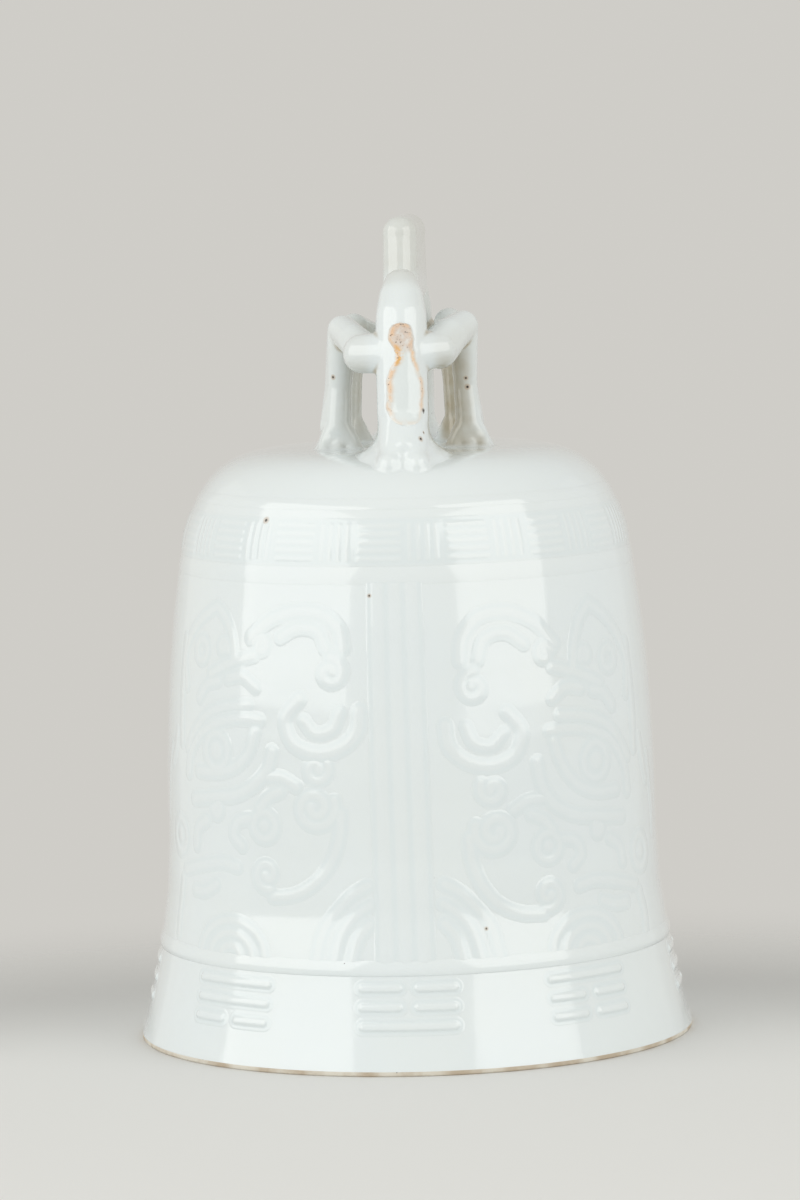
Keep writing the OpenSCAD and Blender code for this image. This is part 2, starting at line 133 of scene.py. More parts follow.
def flowing(points: Sequence[Sequence[float]]) -> np.ndarray:
    """Draws a smooth curve through points that may lie at uneven distances.

    Args:
        points: The points that the curve goes through.

    Returns:
        The curve's points.
    """
    knots = np.array(points, float)
    gaps = np.maximum(np.linalg.norm(np.diff(knots, axis=0), axis=1), 1e-6)[:, None]
    slopes = np.diff(knots, axis=0) / gaps
    inner = (slopes[:-1] * gaps[1:] + slopes[1:] * gaps[:-1]) / (gaps[:-1] + gaps[1:])
    tangents = np.vstack((slopes[:1], inner, slopes[-1:]))
    curve = []
    for i, gap in enumerate(gaps):
        t = np.linspace(0, 1, CURVE_STEPS, endpoint=False)[:, None]
        curve.append(
            (2 * t**3 - 3 * t**2 + 1) * knots[i]
            + (t**3 - 2 * t**2 + t) * gap * tangents[i]
            + (3 * t**2 - 2 * t**3) * knots[i + 1]
            + (t**3 - t**2) * gap * tangents[i + 1]
        )
    return np.vstack(curve + [knots[-1:]])


def soft_step(low: float, high: float, values: np.ndarray) -> np.ndarray:
    """Rises smoothly from 0 at low to 1 at high."""
    t = np.clip((values - low) / (high - low), 0, 1)
    return t * t * (3 - 2 * t)


# ---- the modelling bench -----------------------------------------------------------------


class Bench:
    """Mesh work that every sub-assembly shares, done with Blender's own tools."""

    @staticmethod
    def clear() -> None:
        """Leaves object mode and deselects everything."""
        if bpy.context.object and bpy.context.object.mode != "OBJECT":
            bpy.ops.object.mode_set(mode="OBJECT")
        bpy.ops.object.select_all(action="DESELECT")

    @staticmethod
    def take(piece: bpy.types.Object) -> None:
        """Selects one piece and makes it the active one."""
        Bench.clear()
        piece.select_set(True)
        bpy.context.view_layer.objects.active = piece

    @staticmethod
    def named(name: str) -> bpy.types.Object:
        """Names the active piece and its mesh, and returns it."""
        piece = bpy.context.object
        piece.name = name
        piece.data.name = name
        return piece

    @staticmethod
    def points(piece: bpy.types.Object) -> np.ndarray:
        """Returns a piece's vertices in millimetres."""
        spots = np.empty(len(piece.data.vertices) * 3)
        piece.data.vertices.foreach_get("co", spots)
        return spots.reshape(-1, 3) / MM

    @staticmethod
    def place(piece: bpy.types.Object, spots: np.ndarray) -> None:
        """Moves a piece's vertices to places in millimetres."""
        piece.data.vertices.foreach_set("co", (np.asarray(spots, float) * MM).ravel())
        piece.data.update()

    @staticmethod
    def mark(piece: bpy.types.Object, name: str, values: np.ndarray) -> None:
        """Stores one number for each vertex, for a finish to read."""
        layer = piece.data.attributes.new(name, "FLOAT", "POINT")
        layer.data.foreach_set("value", np.asarray(values, np.float32))

    @staticmethod
    def modify(piece: bpy.types.Object, kind: str, **settings: object) -> None:
        """Adds one modifier to a piece and applies it.

        Args:
            piece: The piece to change.
            kind: The modifier's type.
            **settings: The modifier's settings.
        """
        Bench.take(piece)
        modifier = piece.modifiers.new(kind.lower(), kind)
        for key, value in settings.items():
            setattr(modifier, key, value)
        bpy.ops.object.modifier_apply(modifier=modifier.name)

    @staticmethod
    def close_up(piece: bpy.types.Object, merge: float = 0.001) -> None:
        """Merges doubled vertices, drops loose ones and turns every face outwards.

        Args:
            piece: The piece to clean.
            merge: Vertices nearer than this are merged.
        """
        Bench.take(piece)
        bpy.ops.object.mode_set(mode="EDIT")
        bpy.ops.mesh.select_all(action="SELECT")
        bpy.ops.mesh.remove_doubles(threshold=merge * MM)
        bpy.ops.mesh.delete_loose()
        bpy.ops.mesh.select_all(action="SELECT")
        bpy.ops.mesh.normals_make_consistent(inside=False)
        bpy.ops.object.mode_set(mode="OBJECT")

    @staticmethod
    def soften(piece: bpy.types.Object, angle: float = 40.0) -> None:
        """Shades a piece smooth, apart from edges sharper than the angle."""
        Bench.take(piece)
        bpy.ops.object.shade_smooth_by_angle(angle=math.radians(angle))

    @staticmethod
    def drop(piece: bpy.types.Object, chosen: np.ndarray) -> None:
        """Deletes the chosen vertices of a piece.

        Args:
            piece: The piece to change.
            chosen: True for each vertex that goes.
        """
        Bench.take(piece)
        bpy.ops.object.mode_set(mode="EDIT")
        bpy.ops.mesh.select_mode(type="VERT")
        bpy.ops.mesh.select_all(action="DESELECT")
        bpy.ops.object.mode_set(mode="OBJECT")
        piece.data.vertices.foreach_set("select", chosen)
        bpy.ops.object.mode_set(mode="EDIT")
        bpy.ops.mesh.delete(type="VERT")
        bpy.ops.object.mode_set(mode="OBJECT")

    @staticmethod
    def join(name: str, pieces: Sequence[bpy.types.Object]) -> bpy.types.Object:
        """Joins pieces into the first one and names it."""
        Bench.take(pieces[0])
        for piece in pieces[1:]:
            piece.select_set(True)
        bpy.ops.object.join()
        return Bench.named(name)

    @staticmethod
    def copy_of(piece: bpy.types.Object, name: str) -> bpy.types.Object:
        """Returns a copy of a piece with a mesh of its own."""
        Bench.take(piece)
        bpy.ops.object.duplicate(linked=False)
        return Bench.named(name)

    @staticmethod
    def discard(piece: bpy.types.Object) -> None:
        """Deletes a piece that was only a help."""
        Bench.take(piece)
        bpy.ops.object.delete()

    @staticmethod
    def lathe(name: str, section: Sequence[Place], steps: int = 256) -> bpy.types.Object:
        """Turns a closed section round the bell's axis.

        Args:
            name: The new piece's name.
            section: The section's corners as (radius, height), in order.
            steps: Faces round the axis.

        Returns:
            The turned piece.
        """
        Bench.clear()
        bpy.ops.mesh.primitive_circle_add(vertices=len(section), radius=MM, fill_type="NOTHING")
        piece = Bench.named(name)
        Bench.place(piece, np.array([(radius, 0, height) for radius, height in section]))
        bpy.ops.object.mode_set(mode="EDIT")
        bpy.ops.mesh.select_all(action="SELECT")
        bpy.ops.mesh.spin(steps=steps, angle=math.tau, center=(0, 0, 0), axis=(0, 0, 1))
        bpy.ops.object.mode_set(mode="OBJECT")
        Bench.close_up(piece)
        Bench.soften(piece)
        return piece

    @staticmethod
    def cut(piece: bpy.types.Object, low: np.ndarray, high: np.ndarray) -> None:
        """Cuts a piece down to what lies inside a box, and closes each cut.

        Args:
            piece: The piece to cut.
            low: The box's lowest corner, in millimetres.
            high: Its highest corner.
        """
        Bench.clear()
        bpy.ops.mesh.primitive_cube_add(size=2 * MM)
        box = Bench.named("cutting_box")
        Bench.place(box, low + (Bench.points(box) + 1) / 2 * (high - low))
        Bench.modify(piece, "BOOLEAN", operation="INTERSECT", object=box, solver="MANIFOLD")
        Bench.discard(box)


# ---- shaders -----------------------------------------------------------------------------


class Tap:
    """One socket of a shader. Python's operators on it add Math nodes."""

    def __init__(self, shop: "ShaderShop", socket: bpy.types.NodeSocket) -> None:
        """Wraps a socket of the shop's shader."""
        self.shop = shop
        self.socket = socket

    def _math(self, operation: str, *values: "Tap | float") -> "Tap":
        """Adds one Math node and returns its result."""
        node = self.shop.node("ShaderNodeMath", {"operation": operation}, dict(enumerate(values)))
        return Tap(self.shop, node.outputs[0])

    def __add__(self, other: "Tap | float") -> "Tap":
        """Returns self + other."""
        return self._math("ADD", self, other)

    __radd__ = __add__

    def __sub__(self, other: "Tap | float") -> "Tap":
        """Returns self - other."""
        return self._math("SUBTRACT", self, other)

    def __rsub__(self, other: "Tap | float") -> "Tap":
        """Returns other - self."""
        return self._math("SUBTRACT", other, self)

    def __mul__(self, other: "Tap | float") -> "Tap":
        """Returns self * other."""
        return self._math("MULTIPLY", self, other)

    __rmul__ = __mul__

    def __truediv__(self, other: "Tap | float") -> "Tap":
        """Returns self / other."""
        return self._math("DIVIDE", self, other)

    def above(self, limit: float) -> "Tap":
        """Returns 1 where self is above the limit, and 0 elsewhere."""
        return self._math("GREATER_THAN", self, limit)

    def between(self, low: float, high: float) -> "Tap":
        """Rises smoothly from 0 at low to 1 at high."""
        node = self.shop.node(
            "ShaderNodeMapRange",
            {"interpolation_type": "SMOOTHSTEP"},
            {"Value": self, "From Min": low, "From Max": high, "To Min": 0.0, "To Max": 1.0},
        )
        return Tap(self.shop, node.outputs["Result"])


class ShaderShop:
    """Builds one material's nodes."""

    def __init__(self, name: str) -> None:
        """Starts a material with no nodes."""
        self.material = bpy.data.materials.new(name)
        self.material.use_nodes = True
        self.tree = self.material.node_tree
        self.tree.nodes.clear()

    def node(
        self, kind: str, settings: dict[str, object] | None = None, values: dict | None = None
    ) -> bpy.types.Node:
        """Adds a node.

        Args:
            kind: The node's type.
            settings: The node's own settings, set first.
            values: A number, a colour or a Tap for each input, by its name or index.

        Returns:
            The new node.
        """
        node = self.tree.nodes.new(kind)
        for key, value in (settings or {}).items():
            setattr(node, key, value)
        for key, value in (values or {}).items():
            self._feed(node.inputs[key], value)
        return node

    def _feed(self, socket: bpy.types.NodeSocket, value: object) -> None:
        """Links a Tap to an input, or sets the input's own value."""
        if isinstance(value, Tap):
            self.tree.links.new(value.socket, socket)
        elif socket.type == "RGBA":
            socket.default_value = (*value, 1.0)
        else:
            socket.default_value = value

    def tap(self, node: bpy.types.Node, output: str | int = 0) -> Tap:
        """Wraps one of a node's outputs."""
        return Tap(self, node.outputs[output])

    def where(self) -> Tap:
        """Returns the place on the object, in metres."""
        return self.tap(self.node("ShaderNodeTexCoord"), "Object")

    def mark(self, name: str) -> Tap:
        """Returns a number that was stored on the vertices."""
        return self.tap(self.node("ShaderNodeAttribute", {"attribute_name": name}), "Fac")

    def noise(self, grain: float, detail: float = 2.0, spread: Point = (1.0, 1.0, 1.0)) -> Tap:
        """Adds cloudy noise.

        Args:
            grain: The size of its patches, in millimetres.
            detail: How much finer noise lies on it.
            spread: Its scale along X, Y and Z.

        Returns:
            A value from 0 to 1, mostly near a half.
        """
        mapping = self.node("ShaderNodeMapping", None, {"Vector": self.where(), "Scale": spread})
        node = self.node(
            "ShaderNodeTexNoise",
            None,
            {"Vector": self.tap(mapping), "Scale": 1 / (grain * MM), "Detail": detail},
        )
        return self.tap(node, "Fac")

    def blend(self, factor: Tap | float, first: Tap | Colour, second: Tap | Colour) -> Tap:
        """Mixes two colours by a factor."""
        node = self.node("ShaderNodeMix", {"data_type": "RGBA"}, {0: factor, 6: first, 7: second})
        return self.tap(node, 2)

    def distance_to(self, spot: Point) -> Tap:
        """Returns the distance from a place in millimetres, in millimetres."""
        node = self.node(
            "ShaderNodeVectorMath",
            {"operation": "DISTANCE"},
            {0: self.where(), 1: tuple(value * MM for value in spot)},
        )
        return self.tap(node, "Value") / MM

    def specks(self, cell: float, radius: float, share: float) -> Tap:
        """Scatters small round spots.

        Args:
            cell: The size of the cells that hold one spot each, in millimetres.
            radius: A spot's radius, in millimetres.
            share: The share of the cells that keep their spot.

        Returns:
            1 on a spot and 0 elsewhere, with a soft edge.
        """
        cells = self.node(
            "ShaderNodeTexVoronoi", None, {"Vector": self.where(), "Scale": 1 / (cell * MM)}
        )
        chance = self.node("ShaderNodeSeparateColor", None, {0: self.tap(cells, "Color")})
        kept = self.tap(chance, 0).above(1 - share)
        return kept * (1 - self.tap(cells, "Distance").between(0.6 * radius / cell, radius / cell))

    def bump(self, height: Tap, depth: float) -> Tap:
        """Turns a height from 0 to 1 into a normal.

        Args:
            height: The height.
            depth: What a height of 1 stands for, in millimetres.

        Returns:
            The normal.
        """
        node = self.node("ShaderNodeBump", None, {"Strength": 1.0, "Distance": depth * MM, "Height": height})
        return self.tap(node)

    def finish(self, **values: object) -> bpy.types.Material:
        """Adds the surface shader and the output.

        Args:
            **values: The surface's inputs, with spaces in their names written as underscores.

        Returns:
            The material.
        """
        named = {key.replace("_", " "): value for key, value in values.items()}
        surface = self.node("ShaderNodeBsdfPrincipled", None, named)
        self.node("ShaderNodeOutputMaterial", None, {"Surface": self.tap(surface)})
        return self.material


@dataclass(frozen=True)
class Flaw:
    """A dark speck or a pinhole in the glaze, at one place on the bell."""

    spot: Point
    radius: float


@dataclass(frozen=True)
class WhiteGlaze:
    """Clear glaze over white porcelain, a little blue-green where it has run thick."""

    slot: Slot = Slot.PORCELAIN
    clay: Colour = (0.795, 0.862, 0.888)
    warm: Colour = (0.800, 0.858, 0.866)
    pooled: Colour = (0.755, 0.835, 0.862)
    # Toast-brown: toasted glaze on the loop, and painted shade there too.
    toasted: Colour = (0.440, 0.385, 0.275)
    iron: Colour = (0.030, 0.022, 0.016)
    tan: Colour = (0.420, 0.260, 0.120)
    roughness: float = 0.12
    coat_roughness: float = 0.06
    wave: float = 1.0
    body_index: float = 1.42
    coat_index: float = 1.5
    translucency: float = 0.06
    flaws: tuple[Flaw, ...] = ()

    def colour(self, shop: ShaderShop) -> Tap:
        """Works out the glaze's colour.

        Args:
            shop: The shader that it goes into.

        Returns:
            The colour.
        """
        cloudy = shop.noise(45.0, 2.0).between(0.35, 0.65)
        body = shop.blend(cloudy * 0.55, self.clay, self.warm)
        body = shop.blend(shop.mark("pool") * 0.7, body, self.pooled)
        # Toast mark: toasted glaze on the loop's limbs and crest, and painted shade in its creases, on inner
        # sides, undersides and right-facing sides.
        body = shop.blend(shop.mark("toast") * (shop.noise(3.0, 3.0) * 0.6 + 0.6), body, self.toasted)
        grains = shop.specks(2.0, 0.22, 0.0035)
        body = shop.blend(grains * 0.8, body, self.iron)
        for flaw in self.flaws:
            near = shop.distance_to(flaw.spot)
            body = shop.blend((1 - near.between(flaw.radius, 2.4 * flaw.radius)) * 0.5, body, self.tan)
            body = shop.blend(1 - near.between(0.5 * flaw.radius, flaw.radius), body, self.iron)
        return body

    def make(self) -> bpy.types.Material:
        """Builds the material."""
        shop = ShaderShop("white_glaze")
        ripple = shop.noise(30.0, 1.0) + shop.noise(7.0, 1.0) * 0.05
        pits = shop.specks(1.3, 0.1, 0.02)
        return shop.finish(
            Base_Color=self.colour(shop),
            Roughness=shop.noise(12.0, 2.0) * 0.05 + (self.roughness - 0.025),
            IOR=self.body_index,
            Coat_Weight=1.0,
            Coat_Roughness=self.coat_roughness,
            Coat_IOR=self.coat_index,
            Subsurface_Weight=self.translucency,
            Subsurface_Radius=(1.0, 1.0, 0.9),
            Subsurface_Scale=1.2 * MM,
            Normal=shop.bump(ripple - pits * 0.02, self.wave),
        )


@dataclass(frozen=True)
class ScarredGlaze:
    """Glaze with a toasted, gritty line where a kiln prop stood."""

    slot: Slot = Slot.SCARRED_GLAZE
    clay: Colour = (0.780, 0.843, 0.853)
    toast: Colour = (0.860, 0.560, 0.330)
    ember: Colour = (0.830, 0.450, 0.100)
    dust: Colour = (0.640, 0.470, 0.360)
    char: Colour = (0.045, 0.028, 0.018)

    def make(self) -> bpy.types.Material:
        """Builds the material."""
        shop = ShaderShop("scarred_glaze")
        scar, cap = shop.mark("scar"), shop.mark("cap")
        broken = shop.noise(2.2, 3.0).between(0.34, 0.56)
        toasted = scar * (broken * 0.65 + 0.35)
        blotches = cap * shop.noise(1.6, 3.0).between(0.36, 0.60)
        colour = shop.blend(cap * 0.35 + blotches * 0.35, self.clay, self.dust)
        colour = shop.blend(toasted * 0.80, colour, self.toast)
        embers = shop.mark("ember") * shop.noise(1.3, 2.0).between(0.40, 0.58)
        colour = shop.blend(embers * 0.85, colour, self.ember)
        grit = (scar + cap).between(0.4, 0.9) * shop.noise(0.8, 1.0).between(0.66, 0.73)
        colour = shop.blend(grit * 0.75, colour, self.char)
        colour = shop.blend(shop.mark("char"), colour, self.char)
        rough = shop.noise(0.5, 2.0) * (scar + cap * 0.6)
        return shop.finish(
            Base_Color=colour,
            Roughness=toasted * 0.40 + cap * 0.20 + 0.09,
            Coat_Weight=0.6,
            Coat_Roughness=0.12,
            Normal=shop.bump(rough, 0.30),
        )


@dataclass(frozen=True)
class ToastedBiscuit:
    """Bare fired clay, toasted brown where the glaze was wiped off."""

    slot: Slot = Slot.BISCUIT
    pale: Colour = (0.740, 0.710, 0.630)
    dark: Colour = (0.540, 0.455, 0.350)
    soot: Colour = (0.050, 0.036, 0.026)

    def make(self) -> bpy.types.Material:
        """Builds the material."""
        shop = ShaderShop("toasted_biscuit")
        mottled = shop.noise(9.0, 4.0).between(0.35, 0.65)
        colour = shop.blend(mottled, self.pale, self.dark)
        colour = shop.blend(shop.specks(1.2, 0.2, 0.12) * 0.8, colour, self.soot)
        grain = shop.noise(0.45, 3.0)
        return shop.finish(
            Base_Color=colour, Roughness=grain * 0.2 + 0.68, IOR=1.45, Normal=shop.bump(grain, 0.12)
        )


@dataclass(frozen=True)
class AgedBrass:
    """Cast brass, dull in its hollows and rubbed bright in streaks."""

    slot: Slot = Slot.BRASS
    bright: Colour = (0.780, 0.560, 0.250)
    dull: Colour = (0.300, 0.200, 0.095)

    def make(self) -> bpy.types.Material:
        """Builds the material."""
        shop = ShaderShop("aged_brass")
        tarnish = shop.noise(4.0, 4.0).between(0.38, 0.68)
        streaks = shop.noise(1.0, 2.0, (1.0, 1.0, 0.12))
        return shop.finish(
            Base_Color=shop.blend(tarnish, self.bright, self.dull),
            Metallic=1 - tarnish * 0.25,
            Roughness=tarnish * 0.25 + streaks * 0.2 + 0.16,
            Normal=shop.bump(streaks, 0.05),
        )


@dataclass(frozen=True)
class OiledHardwood:
    """Turned close-grained wood, rubbed with oil."""

    slot: Slot = Slot.HARDWOOD
    light: Colour = (0.360, 0.175, 0.070)
    dark: Colour = (0.120, 0.050, 0.022)

    def make(self) -> bpy.types.Material:
        """Builds the material."""
        shop = ShaderShop("oiled_hardwood")
        grain = shop.noise(1.6, 5.0, (1.0, 1.0, 0.09)).between(0.32, 0.68)
        pores = shop.noise(0.5, 2.0, (1.0, 1.0, 0.06)).between(0.60, 0.70)
        colour = shop.blend(grain, self.light, self.dark)
        return shop.finish(
            Base_Color=shop.blend(pores * 0.7, colour, self.dark),
            Roughness=grain * 0.15 + 0.34,
            Coat_Weight=0.15,
            Normal=shop.bump(1 - pores, 0.06),
        )


Finish = WhiteGlaze | ScarredGlaze | ToastedBiscuit | AgedBrass | OiledHardwood


class Dresser:
    """Gives every piece its finish and its place in the frame's tables."""

    def __init__(self, finishes: Iterable[Finish]) -> None:
        """Makes each finish's material once."""
        self.materials = {finish.slot: finish.make() for finish in finishes}

    def dress(
        self, piece: bpy.types.Object, node: str, slot: Slot = Slot.PORCELAIN, body: str = "bell"
    ) -> None:
        """Dresses a new piece and lets it stand for a CAD node.

        Args:
            piece: The new piece.
            node: The CAD node that it stands for.
            slot: The material slot that its finish has.
            body: The body that it moves with.
        """
        piece.data.materials.clear()
        piece.data.materials.append(self.materials[slot])
        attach(piece, body)
        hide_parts(node)
        LOG.info("%s: %d faces, %s", piece.name, len(piece.data.polygons), slot.value)

    def dress_node(self, node: str, slot: Slot) -> None:
        """Gives a CAD node that stays in view a better finish."""
        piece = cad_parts[node]
        piece.data.materials.clear()
        piece.data.materials.append(self.materials[slot])
        LOG.info("%s: kept from the frame, %s", node, slot.value)


# ---- the wall ----------------------------------------------------------------------------


@dataclass
class BellWall:
    """The bell's outline and wall, measured on the frame, and the pieces turned from it.

    The mouldings are listed by their CAD nodes, with how far each stands out and where its highest
    line lies, from 0 at its foot to 1 at its top.
    """

    crown_power: float = 1.1
    crown_square: float = 7.6
    steep_share: float = 0.86
    ring_seat: float = 0.05
    ring_depth: float = 0.8
    mouldings: tuple[tuple[str, float, float], ...] = (
        ("shoulder_bead", 0.2, 0.5),
        ("barrel_bead", 0.2, 0.5),
        ("waist_ring", 0.55, 0.42),
    )

    def __post_init__(self) -> None:
        """Measures the frame and draws the outline."""
        self.rim_height = span_of("flared_skirt")[0][2]
        self.waist = span_of("barrel_wall")[0][2]
        self.shoulder = span_of("crown_dome")[0][2]
        self.top = span_of("crown_dome")[1][2]
        self.ceiling = span_of("crown_lug")[1][2]
        self.mouth_radius = span_of("foot_rim")[1][0]
        rim = turned_rows("foot_rim")
        self.rim_round = rim[rim[:, 0] > self.mouth_radius - 0.01][0][1]
        self.thickness = self._thickness()
        self.outline = np.vstack((flowing(self._rows()), self._dome()))

    def _thickness(self) -> float:
        """Measures the wall's thickness at the rim."""
        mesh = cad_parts["foot_rim"].data
        radii = [math.hypot(vertex.co.x, vertex.co.y) / MM for vertex in mesh.vertices]
        return self.mouth_radius - min(radii)

    @staticmethod
    def _rows() -> np.ndarray:
        """Collects the outline's points from the rim to the shoulder."""
        return np.vstack((turned_rows("flared_skirt"), turned_rows("barrel_wall")[1:]))

    def _dome(self) -> np.ndarray:
        """Draws the crown above the shoulder as one rounded curve up to the axis."""
        reach = self._shoulder_radius()
        rise = self.top - self.shoulder
        steep = np.linspace(0.0, self.steep_share, 30)[1:]
        radii = reach * (1 - steep**self.crown_power) ** (1 / self.crown_square)
        flat = np.linspace(radii[-1], 0.0, 26)[1:]
        level = (1 - (flat / reach) ** self.crown_square) ** (1 / self.crown_power)
        return np.column_stack(
            (np.concatenate((radii, flat)), self.shoulder + rise * np.concatenate((steep, level)))
        )

    @staticmethod
    def _shoulder_radius() -> float:
        """Measures the barrel where the crown begins."""
        return float(turned_rows("barrel_wall")[-1][0])

    def radius(self, height: np.ndarray | float) -> np.ndarray:
        """Returns the outer radius at a height below the crown's flat top."""
        rising = self.outline[: int(np.argmax(self.outline[:, 1] > self.top - 0.2))]
        return np.interp(height, rising[:, 1], rising[:, 0])

    def stretch(self, low: float, high: float, pace: float = 1.5) -> np.ndarray:
        """Returns the outline's points between two heights of the wall."""
        heights = np.linspace(low, high, max(2, round((high - low) / pace) + 1))
        return np.column_stack((self.radius(heights), heights))

    def spot(self, bearing: float, height: float) -> Point:
        """Returns the place on the wall at a bearing and a height."""
        turn, radius = math.radians(bearing), float(self.radius(height))
        return radius * math.sin(turn), -radius * math.cos(turn), height

    def tube(self, name: str, low: float, high: float) -> bpy.types.Object:
        """Turns the part of the wall between two heights."""
        outer = self.stretch(low, high)
        inner = self.stretch(low, high, 4.0)[::-1] - (self.thickness, 0)
        return Bench.lathe(name, np.vstack((outer, inner)))

    def crown(self) -> bpy.types.Object:
        """Turns the crown, with its rounded ceiling."""
        outer = self.outline[self.outline[:, 1] >= self.shoulder - 0.001]
        first = (self.radius(self.shoulder), self.shoulder)
        outer = np.vstack(([first], outer[outer[:, 1] > self.shoulder + 0.05]))
        thinner = (outer[0][0] - self.thickness) / outer[0][0]
        flatter = (self.ceiling - self.shoulder) / (self.top - self.shoulder)
        inner = outer[::-2] * (thinner, flatter) + (0, self.shoulder * (1 - flatter))
        inner[-1] = (outer[0][0] - self.thickness, self.shoulder)
        return Bench.lathe("crown_dome_fired", np.vstack((outer, inner)))

    def bare_rim(self) -> bpy.types.Object:
        """Turns the unglazed lip, with its rounded edges."""
        turn = np.linspace(0, math.pi / 2, 6)
        curve = self.rim_round * np.column_stack((np.sin(turn), 1 - np.cos(turn)))
        outer = curve + (self.mouth_radius - self.rim_round, 0)
        inner = curve * (-1, 1) + (self.mouth_radius - self.thickness + self.rim_round, 0)
        top = [(self.mouth_radius, self.rim_height), (self.mouth_radius - self.thickness, self.rim_height)]
        return Bench.lathe("foot_rim_fired", np.vstack((outer, top, inner[::-1])))

    def ring(self, node: str, rise: float, lean: float) -> bpy.types.Object:
        """Turns a soft moulding that stands on the wall.

        Args:
            node: The CAD node whose place it takes.
            rise: How far it stands out.
            lean: Where its highest line lies, from 0 at its foot to 1 at its top.

        Returns:
            The moulding.
        """
        low, high = span_of(node)
        heights = np.linspace(low[2] - 0.5, high[2] + 0.5, 22)
        along = (heights - heights[0]) / (heights[-1] - heights[0])
        swell = np.sin(math.pi * along ** (math.log(0.5) / math.log(lean))) ** 0.8
        face = np.column_stack((self.radius(heights) + rise * swell - self.ring_seat, heights))
        back = np.column_stack((self.radius(heights) - self.ring_depth, heights))[::-3]
        return Bench.lathe(f"{node}_fired", np.vstack((face, back)))

    def build(self, dresser: Dresser) -> None:
        """Makes the wall's pieces and dresses them."""
        dresser.dress(self.crown(), "crown_dome")
        dresser.dress(self.tube("barrel_wall_fired", self.waist, self.shoulder), "barrel_wall")
        dresser.dress(self.tube("flared_skirt_fired", self.rim_height, self.waist), "flared_skirt")
        dresser.dress(self.bare_rim(), "foot_rim", Slot.BISCUIT)
        for node, rise, lean in self.mouldings:
            dresser.dress(self.ring(node, rise, lean), node)


# ---- raised work on the wall -------------------------------------------------------------


@dataclass(frozen=True)
class Line:
    """A raised line, through points (bearing, height) of the panel."""

    points: tuple[Place, ...]
    width: float = 1.9
    rise: float = 1.0

    def tracks(self, to_mm: Callable[[np.ndarray], np.ndarray]) -> list[tuple[np.ndarray, float, float]]:
        """Returns the line's points on the wall, its half width and its rise."""
        return [(flowing(to_mm(np.array(self.points, float))), self.width / 2, self.rise)]


@dataclass(frozen=True)
class Curl:
    """A line that winds inwards round its centre and ends in a bead.

    The start and the sweep are angles in degrees. A negative sweep winds the other way.
    """

    centre: Place
    radius: float
    start: float
    sweep: float = 420.0
    width: float = 1.7
    rise: float = 1.0

    def tracks(self, to_mm: Callable[[np.ndarray], np.ndarray]) -> list[tuple[np.ndarray, float, float]]:
        """Returns the curl's line and bead on the wall, each with its half width and rise."""
        middle = to_mm(np.array([self.centre], float))[0]
        t = np.linspace(0, 1, 40)
        reach = (self.radius - self.width / 2) * (1 - 0.78 * t)
        angle = np.radians(self.start + self.sweep * t)
        spiral = middle + np.column_stack((reach * np.cos(angle), reach * np.sin(angle)))
        return [(spiral, self.width / 2, self.rise), (spiral[-1:], self.width * 0.66, self.rise)]


@dataclass(frozen=True)
class Bead:
    """A round boss."""

    centre: Place
    radius: float
    rise: float = 1.0

    def tracks(self, to_mm: Callable[[np.ndarray], np.ndarray]) -> list[tuple[np.ndarray, float, float]]:
        """Returns the boss's middle on the wall, its radius and its rise."""
        return [(to_mm(np.array([self.centre], float)), self.radius, self.rise)]


@dataclass(frozen=True)
class Hoop:
    """A raised ring."""

    centre: Place
    radius: float
    width: float = 1.6
    rise: float = 1.0

    def tracks(self, to_mm: Callable[[np.ndarray], np.ndarray]) -> list[tuple[np.ndarray, float, float]]:
        """Returns the ring's line on the wall, its half width and its rise."""
        middle = to_mm(np.array([self.centre], float))[0]
        angle = np.linspace(0, math.tau, 48)
        reach = self.radius - self.width / 2
        hoop = middle + reach * np.column_stack((np.cos(angle), np.sin(angle)))
        return [(hoop, self.width / 2, self.rise)]


Stroke = Line | Curl | Bead | Hoop


@dataclass(frozen=True)
class Sprig:
    """One group of strokes that was modelled as a piece: its name and what is drawn on it."""

    name: str
    strokes: tuple[Stroke, ...]
    height: float = 0.12


